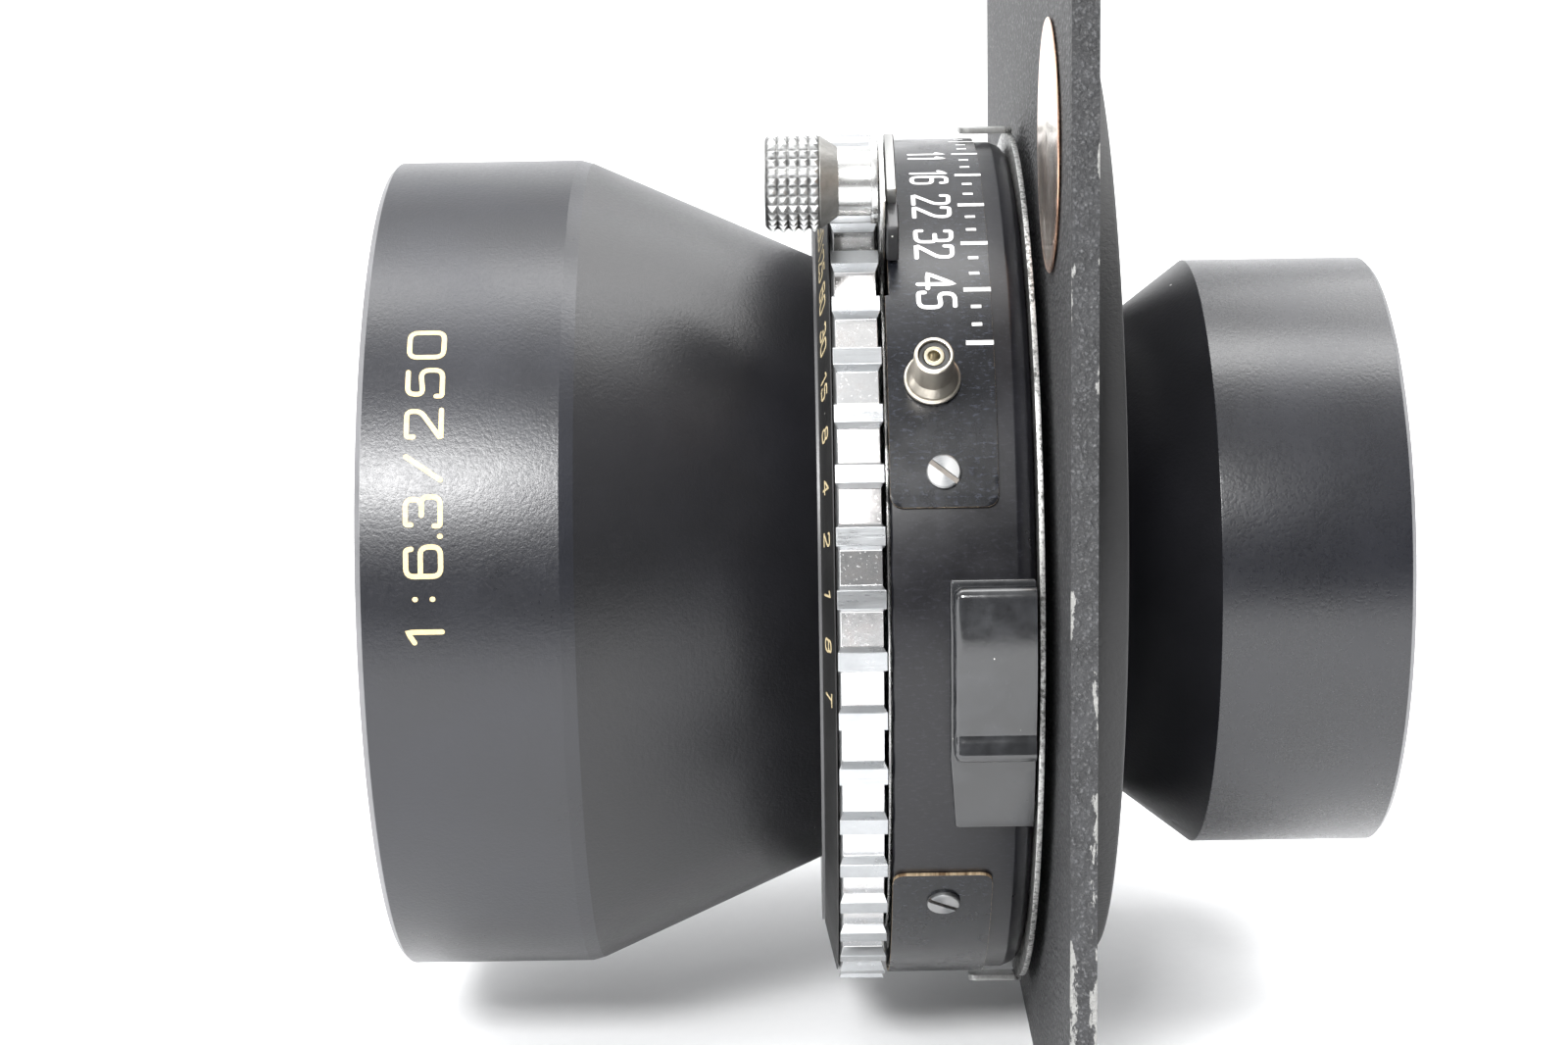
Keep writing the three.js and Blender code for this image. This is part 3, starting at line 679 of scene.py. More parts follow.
# A darker, browner nickel for the screws' slots.
SLOT_BROWN = bare_metal("slot_brown", (0.17, 0.155, 0.14), 0.5, along=3.0, round_=3.0, mark=0.01)
WARM_NICKEL = bare_metal("warm_nickel", (0.78, 0.72, 0.62), 0.34, along=1.0, round_=0.5, mark=0.001)
BRASS = bare_metal("brass_contact", (0.6, 0.55, 0.42), 0.3, along=3.0, round_=3.0)
WORN_PLATE = worn_ring()
DARK_STEEL = bare_metal("dark_steel", (0.12, 0.122, 0.13), 0.42, along=1.0, round_=1.0, mark=0.003)
LEVER_CHROME = bare_metal("lever_chrome", (0.36, 0.36, 0.355), 0.3, along=1.0, round_=6.0, mark=0.01)
GLOSS = plastic("gloss_black", (0.008, 0.0085, 0.0095), 0.13)
GRIP = plastic("grip_black", (0.014, 0.014, 0.015), 0.42)
SOCKET_BLACK = plastic("socket_black", (0.012, 0.012, 0.012), 0.35)
CREAM = marking("cream_marking", (0.52, 0.41, 0.21))
DIAL_CREAM = marking("dial_marking", (0.5, 0.41, 0.24))
WHITE = marking("white_marking", (0.68, 0.68, 0.68))
GLASS = coated_glass("glass", (0.97, 0.99, 1.0))
BADGE = badge_finish()
KNURLED = knurl_finish()


# ---- front cell
def thread(x0, x1, r, depth, pitch=0.75):
    """Points along a row of thread crests, for a profile."""
    count = int((x1 - x0) / pitch)
    out = []
    for i in range(count):
        out += [[x0 + (i + 0.25) * pitch, r, 0], [x0 + (i + 0.75) * pitch, r - depth, 0]]
    return out


def front_cell():
    outside = [
        [-55.9, 33.6, 0.06], [-55.9, 34.55, 0.06], [-55.45, 35, 0.1], [-40.1, 35, 0.04],
        [-39.0, 34.7, 0.04], [-20.05, 26.3, 0.15],
    ]
    inside = [
        [-20.05, 19.4], [-13.7, 19.4], [-13.7, 18], [-18.4, 18], [-18.4, 16.5], [-24, 16.5], [-24, 24],
        [-31.9, 24], [-31.9, 28.2], [-44.6, 28.2], [-44.6, 31.5], [-50.4, 31.5], [-50.4, 33.5],
    ]

    def finish(c, r):
        if c.x < -55.42 and r > 33.5:
            return 3
        if -39.05 < c.x < -20.1 and r > 26.2:
            return 1
        return 0 if r > 34.4 or (c.x > -40.2 and r > 26.2) else 2
    bm = paint(turned(outside + inside + thread(-55.3, -50.8, 33.55, 0.35)[::-1], steps=256), finish)
    put("front_barrel_body", bm, [BLACK, SHADED_BLACK_CONE, BLACK_INSIDE, RUBBED], "front_barrel")

    r = 35.015
    parts = []
    for text, phi in (("1", 2.4), (":", 7.3), ("6.3", 15.2), ("/", 23.9), ("250", 35.4)):
        glyphs = thickened(figures(text, 3.09, 0.4, width=1.4, gap=0.44), 0.012)
        parts.append(bent(glyphs, lambda a, b, h: around(-48.98 - b, r + h, phi + degrees(a / r))))
    put("barrel_figures", joined(*parts), CREAM)

    ring = [[-49.6, 28.4], [-49.6, 31.3], [-44.9, 31.3], [-44.9, 26.6], [-45.6, 26.6]]
    slots = [sector(-50.2, -48.6, 28, 31.6, a - 3, a + 3) for a in (0, 180)]
    put("front_ring_body", cut(turned(ring), *slots), BLACK_INSIDE, "front_retaining_ring")
    put("front_spacer_body", turned(washer(-33.3, -32.1, 24.2, 28)), BLACK_INSIDE, "front_spacer_ring")
    put("front_inner_ring_body", turned(washer(-14.8, -13.9, 15.9, 17.85)), BLACK_INSIDE,
        "front_inner_retainer")


def element(name, node, front, front_r, rear, rear_r, rim):
    def face(vertex, radius, r):
        return vertex + radius - copysign(sqrt(radius * radius - r * r), radius)
    heights = spread(0, rim, 20)
    profile = [(face(front, front_r, r), r) for r in heights]
    profile += [(face(rear, rear_r, r), r) for r in reversed(heights)]
    put(name, turned(profile, radius=0, steps=120), GLASS, node)


def glasses():
    element("front_glass_1", "front_element_outer", -49, 85, -40.5, -200, 28)
    element("front_glass_2", "front_element_flint", -40.35, -200, -37.2, 110, 28)
    element("front_glass_3", "front_element_inner", -21, 45, -17.6, 60, 17.8)
    element("rear_glass_1", "rear_element_inner", -2.4, -60, 1, -45, 16.8)
    element("rear_glass_2", "rear_element_flint", 17, -100, 19.5, 170, 21.3)
    element("rear_glass_3", "rear_element_outer", 19.65, 170, 25.6, -75, 21.3)


# ---- rear cell
def rear_cell():
    profile = [
        [27.7, 23.15, 0.06], [27.7, 25.1, 0.06], [27.3, 25.5, 0.1], [12.15, 25.5, 0.12], [4.1, 19.4],
        [4.1, 18.5], [-5.45, 18.5], [-5.45, 17], [-1.5, 17], [-1.5, 15.4], [14.4, 18.5], [14.4, 21.5],
        [23.1, 21.5], [23.1, 23.1],
    ]

    def finish(c, r):
        if c.x > 27.32 and r > 23.1:
            return 3
        if c.x < 12.1 and r > 19.3:
            return 1
        return 2 if r < 25 or c.x < 4.2 else 0
    bm = paint(turned(profile, steps=256), finish)
    put("rear_barrel_body", bm, [BLACK_REAR, SHADED_BLACK_CONE, BLACK_INSIDE, RUBBED], "rear_barrel")
    ring = [[23.35, 19.2], [23.35, 22.9], [26.2, 22.9], [26.2, 20.6], [24.6, 19.2]]
    slots = [sector(25.2, 27, 20, 23.2, a - 4, a + 4) for a in (20, 200)]
    put("rear_ring_body", cut(turned(ring), *slots), BLACK_INSIDE, "rear_retaining_ring")
    put("rear_inner_ring_body", turned(washer(-5.35, -4.95, 15.2, 16.85)), BLACK_INSIDE,
        "rear_inner_retainer")


# ---- shutter case
def shutter_case():
    wall = [
        [-14.6, 34.4], [-14.6, 35.85, 0.1], [-14.45, 36, 0.1], [-4.9, 36, 0.5], [-3.95, 35.6, 0.5],
        [-3.5, 34.9, 0.2], [-3.5, 34.4],
    ]
    bm = cut(turned(wall, steps=256), sector(-16, -14.3, 33, 38, 46, 118),
             sector(-9.6, -8, 33, 40, -13, 2.2), sector(-6.2, -4.9, 33, 38, 140, 164))
    put("case_wall", bm, CASE, "shutter_housing")
    hub = [[-19.85, 19.6], [-19.85, 21.4], [-14.2, 21.4], [-14.2, 34.2], [-13.2, 34.2], [-13.2, 19.6]]
    put("mechanism_plate_body", turned(hub), SATIN, "mechanism_plate")
    cover = [
        [-19.85, 21.6], [-19.85, 28, 0.8], [-20.18, 30.8, 0.3], [-20.18, 31.8, 0.06], [-19.2, 31.8],
        [-19.2, 21.6],
    ]
    put("front_cover_body", turned(cover, radius=0.05), COVER_EDGE, "front_cover")
    tube = [
        [-4.4, 18.9], [-4.4, 34.2], [-3.6, 34.2], [-3.6, 23.4], [-2.08, 23.4], [-2.08, 20.6], [3.9, 20.6],
        [3.9, 18.9],
    ]
    put("back_plate_body", cut(turned(tube, radius=0.05), sector(-5, -3, 26.9, 29.1, 140, 206)), SATIN,
        "back_plate")


def plate(name, node, outline):
    """A thin sheet wrapped round the case, from an outline of [phi, x, corner radius] points."""
    scale = radians(1) * CASE_R
    flat = filled([rounded([[phi * scale, x, c] for phi, x, c in outline], 0, segments=8)])
    bm = softened(thickened(flat, 0.3, side_material=1), 0.085, material=1)
    bm = bent(bm, lambda a, b, h: around(b, CASE_R + h, a / scale))
    put(name, bm, [PLATE, PLATE_EDGE], node, even=True)


def slotted_screw(name, node, phi, spin):
    head = [
        [35.6, 0], [35.6, 0.6], [36.3, 0.6], [36.3, 1.33], [36.66, 1.33, 0.08], [36.73, 1.2, 0.1],
        [36.75, 0, 0],
    ]
    width = 0.42
    slot = bmesh.new()
    bmesh.ops.create_cube(slot, size=1.0)
    bmesh.ops.scale(slot, vec=(3.4, width, 0.6), verts=slot.verts)
    bmesh.ops.translate(slot, vec=(0, 0, 36.78), verts=slot.verts)

    def finish(c, _):
        in_slot = 36.35 < c.z < 36.7 and abs(c.y) < width / 2 + 0.005 and hypot(c.x, c.y) < 1.325
        return 1 if in_slot else 0
    put(name, paint(cut(spun(head, steps=64), slot), finish), [SCREW, SLOT_BROWN], node,
        place=radial_place(-10.46, phi, spin))


def case_plates():
    plate("scale_plate", "aperture_scale_plate", [
        [17.6, -14.6, 1.1], [17.6, -6.3, 1.1], [118, -6.3, 1.1], [118, -14.3, 1.1], [46, -14.3, 0.2],
        [46, -14.6, 0.2],
    ])
    plate("lower_plate_sheet", "lower_plate", [
        [-118, -14.6, 1.1], [-118, -6.6, 1.1], [-32.8, -6.6, 1.1], [-32.8, -14.6, 1.1],
    ])
    slotted_screw("upper_screw_a", "scale_plate_screw_1", 21.9, -38)
    slotted_screw("upper_screw_b", "scale_plate_screw_2", 113.7, 24)
    slotted_screw("lower_screw_a", "lower_plate_screw_1", -38.3, -30)
    slotted_screw("lower_screw_b", "lower_plate_screw_2", -113.7, 61)

    r = 36.36
    numbers = [
        ("11", 78.1, 0.6), ("16", 70.4, 0.72), ("22", 62.6, 0.8), ("32", 54.7, 0.8), ("45", 46.7, 0.86),
    ]
    parts = []
    for text, phi, width in numbers:
        glyphs = thickened(figures(text, 3.2, 0.36, width=width, gap=0.17, corner=0.3), 0.02)
        parts.append(bent(glyphs, lambda a, b, h: around(-12.15 + b, r + h, phi - degrees(a / r))))
    stop = 8.0      # degrees between full stops, with two short marks between them
    for i in range(9):
        phi = 38.7 + stop * i
        parts.append(sector(-8.42, -6.28, r, r + 0.02, phi - 0.32, phi + 0.32, 0.3))
        for mark in (phi + stop / 3, phi + stop * 2 / 3) if i < 8 else ():
            parts.append(sector(-7.9, -7.1, r, r + 0.02, mark - 0.24, mark + 0.24, 0.25))
    put("scale_figures", joined(*parts), WHITE)


def sync_socket():
    shell = [
        [36.4, 0], [36.4, 2.05, 0.05], [36.6, 2.2, 0.05], [36.85, 2.2, 0.1], [36.95, 2.02, 0.05],
        [37.25, 1.98, 0.15], [38.1, 1.6, 0.4], [40.85, 1.53, 0.1], [41, 1.42, 0.05], [41, 1.24, 0.03],
        [38.3, 1.2], [38.3, 0],
    ]
    place = radial_place(-11.15, 33.6)
    put("sync_shell", spun(shell, steps=72), WARM_NICKEL, "sync_socket_shell", place=place)
    put("sync_insulator", spun(washer(38.45, 40.72, 0.82, 1.17)), SOCKET_BLACK,
        "sync_socket_insulator", place=place)
    put("sync_contact", spun(washer(38.45, 40.8, 0.47, 0.79)), BRASS,
        "sync_socket_contact", place=place)


def cable_socket():
    tube = [
        [36.2, 1.5], [36.2, 3, 0.1], [37.2, 3, 0.15], [37.6, 2.6, 0.2], [41.2, 2.6, 0.1], [41.5, 2.3, 0.08],
        [41.5, 1.75, 0.05],
    ] + [[41.2 - 0.5 * i, (1.75, 1.55)[i % 2], 0] for i in range(9)]
    put("cable_socket_body", spun(tube, steps=64), NICKEL, "cable_release_socket",
        place=radial_place(-9, 200))


# ---- shutter speed ring
def speed_ring():
    """Flat ridges whose ends overhang, with flat grooves between them, and the dial in front."""
    top, bottom = 36.9, 36.12
    rear, front = [-15.27, bottom], [-18.5, bottom]
    inner = [[-15.27, 33.2], [-18.82, 33.2], [-18.82, 35.82]]
    ridge = [[-15.0, top], rear, rear, *inner, front, front, [-18.8, top]]
    groove = [rear, rear, rear, *inner, front, front, front]
    sections = []
    for i in range(RIDGES):
        centre = FIRST_RIDGE + 360 / RIDGES * i
        for offset, profile in ((-1.62, groove), (-1.12, ridge), (1.12, ridge), (1.62, groove)):
            sections.append([around(x, r, centre + offset) for x, r in profile])

    def finish(c, r):
        if r < 36.02 or c.x < -18.6:
            return 2
        return 0 if r > 36.5 else 1
    bm = paint(softened(lofted(sections), 0.045, angle=20), finish)
    put("speed_ring_body", bm, [RIDGE_TOP, FLOOR_CUT, SATIN], "speed_ring",
        body="speed_ring", sharp=12)

    inner_r, outer_r = 32, 36.1
    slope = (outer_r - inner_r) / (19.95 - 19)
    dial = [[-18.9, inner_r], [-19.95, inner_r, 0.04], [-19.0, outer_r, 0.03], [-18.9, outer_r]]
    put("speed_dial_body", turned(dial, radius=0.02), DIAL, "speed_dial", body="speed_ring")
    parts = []
    for i, text in enumerate(["T", "B", "1", "2", "4", "8", "15", "30", "60", "125", "250", "400"]):
        phi = -6.8 + 6.95 * i

        def on_dial(a, b, h):
            r = 33.1 + b
            return around(-19.96 + (r - inner_r) / slope - h, r, phi - degrees(a / 34))
        parts.append(bent(thickened(figures(text, 1.9, 0.19, width=0.95, gap=0.22), 0.02), on_dial))
    put("dial_figures", joined(*parts), DIAL_CREAM, body="speed_ring")
    put("cam_plate_body", turned(washer(-17.9, -17.3, 23, 32.9)), DARK_STEEL, "speed_cam_plate",
        body="speed_ring")


# ---- cocking lever
def knurled_head():
    """A round head covered with rows of small pyramids, turned about local Z."""
    rows, count = 5, 30
    z0, z1, peak = 19.62, 23.72, 4.0
    pitch = (z1 - z0) / rows
    bm = bmesh.new()

    def ring(z, r, shift=0.0):
        turns = [2 * pi * (i + shift) / count for i in range(count)]
        return [bm.verts.new((r * cos(a), r * sin(a), z)) for a in turns]
    lines = [ring(z0 + pitch * k, KNURL_VALLEY) for k in range(rows + 1)]
    for k in range(rows):
        tips = ring(z0 + pitch * (k + 0.5), peak, 0.5)
        for i in range(count):
            j = (i + 1) % count
            corners = (lines[k][i], lines[k][j], lines[k + 1][j], lines[k + 1][i])
            for m in range(4):
                bm.faces.new((corners[m], corners[(m + 1) % 4], tips[i]))
    face_edge, face_inner = ring(23.9, 3.4), ring(23.9, 1.2)
    for a, b in ((lines[-1], face_edge), (face_edge, face_inner)):
        for i in range(count):
            j = (i + 1) % count
            bm.faces.new((a[i], a[j], b[j], b[i]))
    bm.faces.new(face_inner)
    bm.faces.new(lines[0][::-1])
    bmesh.ops.recalc_face_normals(bm, faces=bm.faces)
    return softened(bm, 0.035, segments=1, angle=20)


def cocking_lever():
    def arc(x0, x1, r0, r1, start, end, width, step=1.0, segments=3, angle=50):
        """A softened piece of a ring, from angles that are counted from the knob."""
        bm = sector(x0, x1, r0, r1, KNOB_PHI + start, KNOB_PHI + end, step)
        return softened(bm, width, segments, angle)
    disc = turned(washer(-14.9, -14.5, 22.5, 32.5))
    arm = arc(-14.9, -14.5, 31, 42.55, -6.5, 6.5, 0.08, segments=2, angle=35)
    put("lever_plate", joined(disc, arm), NICKEL, "cocking_lever", body="cocking_lever")

    stem = [
        [15.0, 0], [15.0, 3.35, 0.1], [15.55, 3.35, 0.1], [15.55, 2.72, 0.05], [18.1, 2.7, 0.1],
        [19.55, 3.7, 0.08], [19.62, KNURL_VALLEY, 0], [19.62, 0],
    ]
    head = knurled_head()
    stem = paint(spun(stem, steps=72), lambda c, _: 1 if c.z < 18.12 else 2)
    put("knob_body", joined(head, stem), [KNURLED, NICKEL, DIRTY_NICKEL], "cocking_knob",
        body="cocking_lever", place=axial_place(0, KNOB_R, KNOB_PHI), sharp=20)

    low = arc(-14.4, -13.4, 36.65, 40.4, -7.5, -3.2, 0.3, 0.5)
    high = paint(arc(-14.4, -13.55, 36.75, 41.8, -3.4, 7.5, 0.2, 0.5), lambda c, _: 1)
    put("lever_cover", joined(low, high), [GRIP, LEVER_CHROME], "cocking_lever_cover",
        body="cocking_lever")
    put("cocking_spring_strip", sector(-16.6, -15.6, 25, 26, 80, 380, 3), DARK_STEEL, "cocking_spring")


# ---- release lever
def release_lever():
    pivot, tip = Vector(polar(31.9, 162)), Vector(polar(41.5, 150))
    along = (tip - pivot).normalized()
    across = Vector((-along.y, along.x))

    def outline(*corners):
        """A rounded outline from (start, forward, sideways, corner radius) points along the lever."""
        points = [(start + along * forward + across * side, r) for start, forward, side, r in corners]
        return rounded([[p.x, p.y, r] for p, r in points], 0, segments=6)

    def upright(x0):
        return lambda a, b, h: (x0 + h, a, b)
    arm = outline((pivot, -2, -1.6, 1.3), (tip, 0, -1.2, 0.1), (tip, 0, 1.2, 0.1), (pivot, -2, 1.6, 1.3))
    hole = [(pivot.x + y, pivot.y + z) for y, z in circle(1.15, 24)]
    bm = softened(thickened(filled([arm, hole], step=50), 0.7), 0.06)
    put("release_arm", bent(bm, upright(-5.9)), NICKEL, "release_lever", body="release_lever")
    pad = outline((tip, 0.15, -2.2, 0.3), (tip, 1.8, -2.2, 0.9), (tip, 1.8, 2.2, 0.9), (tip, 0.15, 2.2, 0.3))
    bm = softened(thickened(filled([pad], step=50), 4.6), 0.25, segments=3)
    put("release_pad", bent(bm, upright(-9.5)), GRIP, "release_lever_tip",
        body="release_lever")
    put("release_pin", spun([[4.5, 0], [4.5, 1], [6.1, 1, 0.12], [6.1, 0]], steps=40), DARK_STEEL,
        "release_pivot_pin", place=axial_place(0, 31.9, 162))


# ---- press-focus slider
def wrapped_block(outline, height, bevel):
    """A block of even height standing on the case, from an outline of [phi, x] points, with round edges."""
    scale = radians(1) * CASE_R
    bm = bmesh.new()
    bm.faces.new([bm.verts.new((phi * scale, x, 0)) for phi, x in outline])
    thickened(bm, height)
    at_board = -3.75        # the edge that meets the board stays sharp
    edges = [e for e in bm.edges if max(v.co.z for v in e.verts) > height / 2 and not (
        all(v.co.y > at_board and v.co.z > height / 2 for v in e.verts))]
    bmesh.ops.bevel(bm, geom=edges, offset=bevel, segments=4, profile=0.5, affect="EDGES",
                    clamp_overlap=False)
    in_strips(bm, 0.8, 0)
    return bent(bm, lambda a, b, h: around(b, CASE_R + h, a / scale))


def finger_hollow(d):
    """How far the block's top lies below its full height, at d from its lower end: a ridge for the finger."""
    if d < 0.6:
        return 0.0
    if d < 1.6:
        return 0.36 * (d - 0.6)
    if d < 2.3:
        t = (d - 1.6) / 0.7
        return 0.36 + 0.3 * (1 - (1 - t) ** 2)
    return 0.66 * max(0.0, (8.6 - d) / 6.3) ** 2


def rounded_block(phi0, phi1, x0, height, low_r, high_r, side_r, hollow=lambda d: 0.0):
    """A block between two angles. Its ends and its front side are rounded, each by its own radius."""
    x1, r0 = -3.7, 36.9
    scale = radians(1) * r0
    quarter = spread(0, pi / 2, 8)

    def section(x, inset):
        a, b, h = phi0 * scale + inset, phi1 * scale - inset, height - inset
        low, high = max(low_r - inset, 0.05), max(high_r - inset, 0.05)
        top = spread(a + low, b - high, 60)[1:-1]
        points = [(a, 0.0)]
        points += [(a + low * (1 - cos(t)), h - low * (1 - sin(t))) for t in quarter]
        points += [(along, h - hollow(along - phi0 * scale)) for along in top]
        points += [(b - high * (1 - sin(t)), h - high * (1 - cos(t))) for t in quarter]
        points.append((b, 0.0))
        return [around(x, r0 + up, along / scale) for along, up in points]
    sections = [section(x0 + side_r * (1 - sin(t)), side_r * (1 - cos(t)))
                for t in reversed(spread(0, pi / 2, 6))]
    return lofted([*sections, section(x1, 0.0)], wrap=False, capped=True)


def press_focus():
    base = [[-23.8, -3.62], [8.9, -3.62], [8.9, -10.2], [-13.8, -10.2], [-23.8, -9.75]]
    put("slider_base", wrapped_block(base, 0.8, 0.3), GLOSS, "press_focus_track", even=True)
    block = rounded_block(-12.6, 8.2, -10, 2.1, 0.7, 0.9, 0.8, finger_hollow)
    lip = rounded_block(-13.5, -10, -9.8, 0.9, 0.5, 0.3, 0.4)
    put("slider_block", joined(block, lip), GLOSS, "press_focus_slider", body="press_focus")


# ---- blades
def leaf(name, node, turn, pivot_r, inner, outer, span, x0, closed_by, pin_to):
    """A curved blade on its pivot, turned round the axis, and about its pivot by the angle that closes it."""
    def at(r, angles):
        return [Vector((r * cos(radians(a)), r * sin(radians(a)))) for a in angles]
    outline = at(inner, spread(span, -7, 40)) + at(pivot_r + 1.6, spread(-3.5, 3.5, 4))
    outline += at(outer, spread(8, span, 40))
    bm = thickened(filled([rounded([[p.x, p.y] for p in outline], 0.4, 2)], step=100), 0.2)
    pin = spun(washer(0, abs(pin_to - x0 - 0.1), 0, 0.5), steps=16)
    toward = 1 if pin_to > x0 else -1
    bent(pin, lambda a, b, h: (pivot_r + a, b, 0.1 + toward * h))
    bm = joined(bm, pin)
    out = Matrix.Translation((0, pivot_r, 0))
    close = out @ Matrix.Rotation(radians(closed_by), 4, "X") @ out.inverted()
    place = Matrix.Rotation(radians(turn), 4, "X") @ close
    bent(bm, lambda a, b, h: place @ Vector((x0 + h, a, b)))
    put(name, bm, DARK_STEEL, node, body=node, sharp=30)


def blades():
    for kind, count, pivot_r, inner, outer, span, x0, closed_by, pin_to in (
            ("iris", 7, 27, 15.9, 25.4, 80, -9.6, 0, -6.85),
            ("shutter", 5, 30.4, 16, 28.5, 122, -11.4, 31.6, -12.05)):
        for i in range(count):
            leaf(f"{kind}_leaf_{i + 1}", f"{kind}_blade_{i + 1}", 360 * i / count, pivot_r, inner, outer,
                 span, x0 + 0.3 * i, closed_by, pin_to)
    put("iris_base", turned(washer(-7.3, -6.8, 16.3, 34.2)), DARK_STEEL, "iris_base_ring")


# ---- aperture ring
def aperture_ring():
    """A flat ring behind the case with two tabs bent forwards, and a pin that reaches the iris."""
    r, half = 36.85, 3.2
    parts = [turned(washer(-3.35, -2.9, 24, 36.88), radius=0.06, steps=256)]
    for phi in (92, -77):
        scale = radians(1) * r
        low, high = (phi - half) * scale, (phi + half) * scale
        flat = rounded([[low, -2.92, 0.05], [high, -2.92, 0.05], [high, -7.4, 0.9], [low, -7.4, 0.9]], 0, 6)
        tab = softened(thickened(filled([flat], step=0.6), 0.48), 0.12, segments=3)
        parts.append(bent(tab, lambda a, b, h: around(b, r + 0.01 + h, a / scale)))
    centre = around(0, 28, 202)
    pin = spun(washer(3.1, 5.8, 0, 0.9), steps=24)
    parts.append(bent(pin, lambda a, b, h: (-h, centre.y + a, centre.z + b)))
    put("aperture_ring_body", joined(*parts), WORN_PLATE, "aperture_ring",
        body="aperture_ring")
    put("iris_drive", turned(washer(-6.4, -5.9, 16.6, 29.2)), DARK_STEEL, "iris_drive_ring",
        body="aperture_ring")


# ---- lens board
def lens_board():
    side, low, high = BOARD_WIDTH / 2, BOARD_BOTTOM, BOARD_BOTTOM + BOARD_HEIGHT
    outline = rounded([[-side, low], [side, low], [side, high], [-side, high]], 4, segments=10)
    bm = softened(thickened(filled([outline, circle(20.8, 96)], step=200), 2.0), 0.5, segments=4, angle=50)
    put("board_plate", bent(bm, lambda a, b, h: (-2 + h, a, b)), PAINTED_BOARD, "lens_board")
    rib = turned([[-0.2, 38.95], [3.05, 38.95, 0.15], [3.05, 40.35, 0.25], [-0.2, 40.35]], steps=256)
    bmesh.ops.translate(rib, vec=(0, 0, 6), verts=rib.verts)
    put("light_trap_rib", rib, RIDGE_PAINT)
    disc = [[-0.24, 0], [-0.24, 9.5], [-0.1, 9.7], [-0.02, 9.6], [0, 9.2], [0, 0]]
    place = Matrix.Translation((-0.0023, -0.0302, 0.038)) @ Matrix.Rotation(radians(-90), 4, "Y")
    put("badge_disc", spun(disc, steps=96), BADGE, "board_badge", place=place)
    put("locating_stud", spun([[0.5, 0], [0.5, 0.85], [2.02, 0.85, 0.1], [2.02, 0]], steps=40), SCREW,
        "locating_screw", place=axial_place(0, 21.5, -90))
    nut = [[0.1, 20.8], [0.1, 25.2], [3, 25.2, 0.25], [3, 20.8, 0.2]]
    slots = [sector(1.6, 4, 23.4, 27, phi - 4, phi + 4) for phi in (0, 90, 180, 270)]
    put("retaining_ring_body", cut(turned(nut), *slots), BLACK_REAR, "retaining_ring")


# ---- nodes kept from the CAD model
def kept_nodes():
    for name in ("shutter_drive_ring", "shutter_base_ring"):
        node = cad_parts[name]
        node.data.materials.clear()
        node.data.materials.append(DARK_STEEL)
        node.data.shade_smooth()
        node.data.set_sharp_from_angle(angle=radians(30))


# ---- stage
def stage():
    """A sheet of paper that lies under the object, stops short of the camera and rises behind the object."""
    front, back, rise, half, height = -290, 900, 700, 2600, 2600
    line = [(front, 0), (back, 0)]
    line += [(back + rise * sin(t), rise - rise * cos(t)) for t in spread(0.1, pi / 2, 16)]
    line += [(back + rise, height)]
    bm = bmesh.new()
    rows = [[bm.verts.new((x, y, z + BOARD_BOTTOM - 0.02)) for y, z in line] for x in (-half, half)]
    for i in range(len(line) - 1):
        bm.faces.new((rows[0][i], rows[0][i + 1], rows[1][i + 1], rows[1][i]))
    bmesh.ops.scale(bm, vec=(MM, MM, MM), verts=bm.verts)
    mesh = as_mesh(bm, "paper_floor")
    mesh.shade_smooth()
    mesh.materials.append(floor_finish())
    linked("paper_floor", mesh)


def lamp(name, at, target, size, power, hidden=()):
    """A rectangular light, hidden from the kinds of ray that are named."""
    data = bpy.data.lights.new(name, "AREA")
    data.shape, data.size, data.size_y, data.energy = "RECTANGLE", size[0], size[1], power
    made = linked(name, data)
    made.location = at
    made.rotation_euler = (Vector(target) - Vector(at)).to_track_quat("-Z", "Y").to_euler()
    for kind in hidden:
        setattr(made, "visible_" + kind, False)


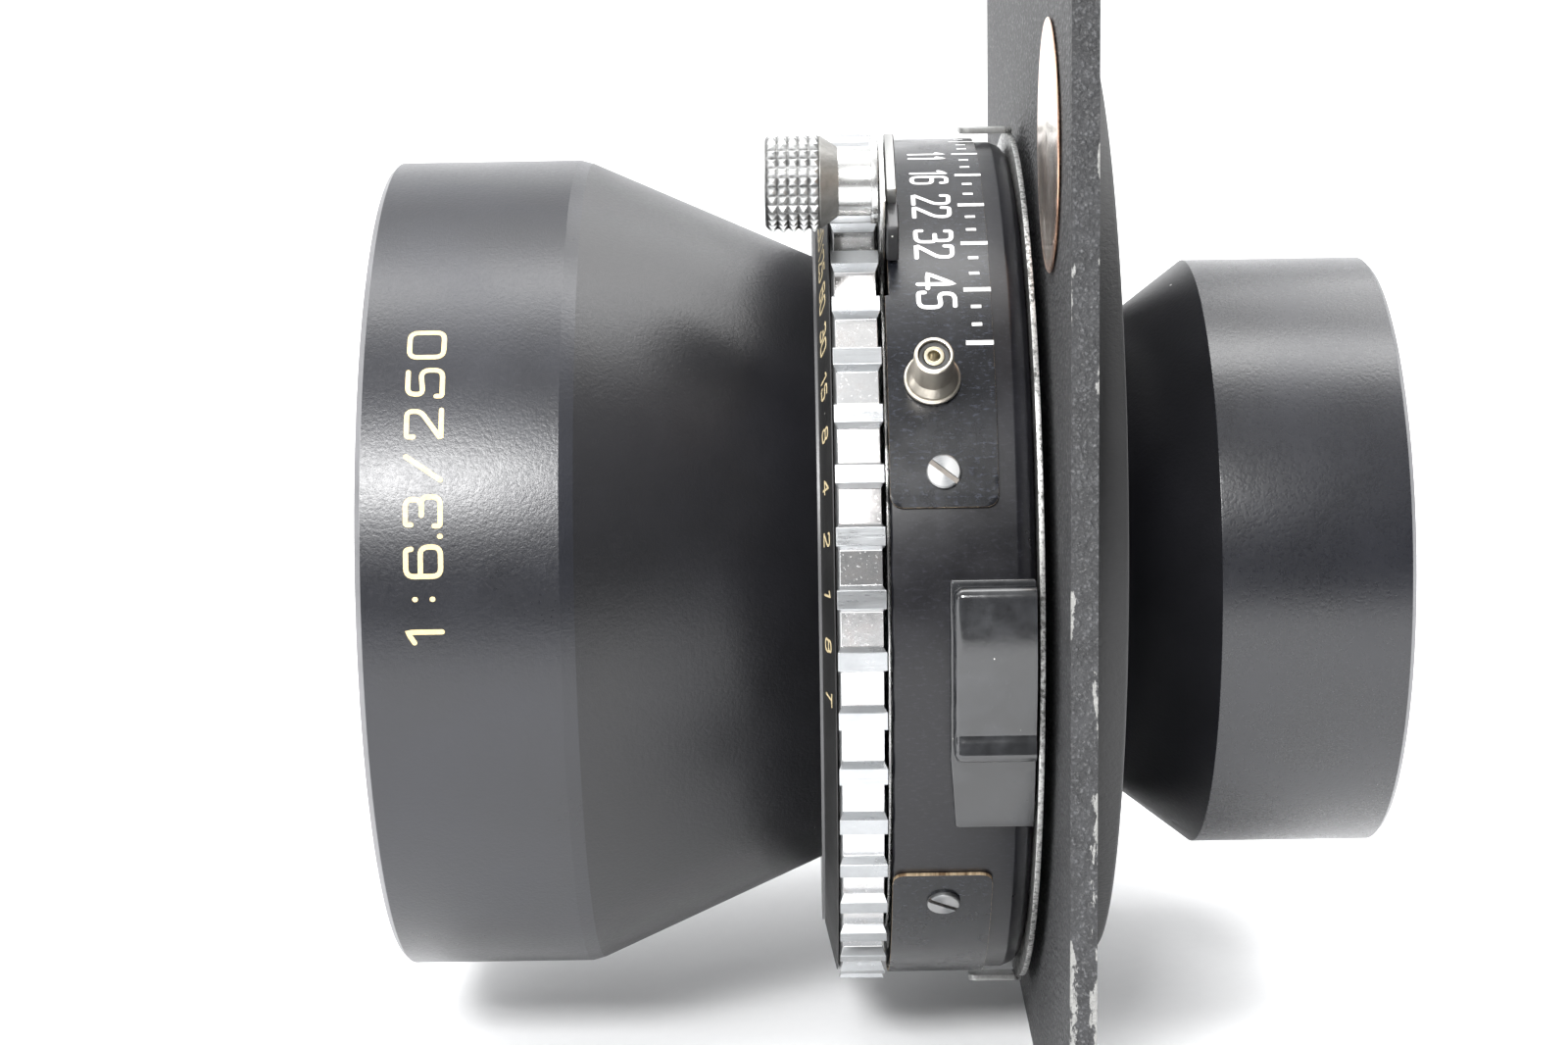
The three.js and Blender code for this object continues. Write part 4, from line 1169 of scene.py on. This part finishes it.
def tent():
    """White cloth all round: dimmer on the camera's side, brightest behind."""
    world = bpy.data.worlds.new("tent")
    bpy.context.scene.world = world
    world.use_nodes = True
    n = Tree(world.node_tree)
    axes = n.split(n.add("ShaderNodeTexCoord").outputs["Generated"])
    # From straight down (0) through the camera's side (0.25) and straight up (0.5) to the back (0.75).
    share = n.ramp(n.math("ARCTAN2", axes[1], axes[2]), -pi, pi)
    stops = [
        (0.0, 1.2), (0.17, 0.5), (0.23, 0.3), (0.285, 0.32), (0.38, 0.8), (0.455, 1.2), (0.49, 3.0),
        (0.54, 3.0), (0.58, 2.3), (0.62, 3.3), (0.67, 6.8), (0.75, 9.0), (1.0, 1.5),
    ]
    level = n.add("ShaderNodeValToRGB", {0: share})
    elements = level.color_ramp.elements
    elements[0].position, elements[1].position = stops[0][0], stops[-1][0]
    for position, _ in stops[1:-1]:
        elements.new(position)
    for element_, (_, value) in zip(elements, stops):
        element_.color = grey(value)
    # Its two ends are plain, diffuse surfaces see it evenly lit, and the camera sees plain white.
    path = n.add("ShaderNodeLightPath").outputs
    cloth = n.mix(n.ramp(n.math("ABSOLUTE", axes[0]), 0.78, 0.95), level.outputs["Color"], grey(0.5))
    cloth = n.mix(path["Is Diffuse Ray"], cloth, grey(1.25))
    cloth = n.mix(path["Is Camera Ray"], cloth, grey(1.3))
    background = n.tree.nodes["Background"]
    n.link(cloth, background.inputs["Color"])
    background.inputs["Strength"].default_value = 1.0


def lighting():
    tent()
    lamp("key", (-0.27, -0.76, 0.53), (-0.05, 0, 0), (0.34, 0.2), 11.5)
    lamp("top", (0.0, 0.04, 1.0), (0, 0, 0), (1.3, 0.3), 7.5, hidden=["diffuse"])
    lamp("fill", (0.1, -0.4, 1.4), (0, 0, 0), (1.3, 1.0), 36, hidden=["glossy"])
    lamp("back", (0.62, 0.5, 0.95), (0, 0, 0), (1.3, 0.6), 6.5, hidden=["diffuse"])
    lamp("side", (-0.8, -0.38, 0.1), (-0.01, -0.03, 0), (0.1, 0.5), 1.2, hidden=["diffuse"])


def camera():
    data = bpy.data.cameras.new("camera")
    data.sensor_width, data.lens = 36.0, 69.8
    data.clip_start, data.clip_end = 0.01, 20.0
    at = Vector((-0.02112, -0.26252, 0.05575))
    forward = Vector((-0.0070, 0.9804, -0.1968)).normalized()
    up = Vector((0.0159, 0.1968, 0.9803))
    right = forward.cross(up).normalized()
    up = right.cross(forward)
    m = Matrix((right, up, -forward)).transposed().to_4x4()
    made = linked("camera", data)
    made.matrix_world = Matrix.Translation(at) @ m
    bpy.context.scene.camera = made


front_cell()
rear_cell()
glasses()
shutter_case()
case_plates()
sync_socket()
cable_socket()
speed_ring()
cocking_lever()
release_lever()
press_focus()
blades()
aperture_ring()
lens_board()
kept_nodes()
stage()
lighting()
camera()

view = bpy.context.scene.view_settings
view.view_transform, view.look, view.exposure, view.gamma = "Standard", "None", 0.0, 1.0
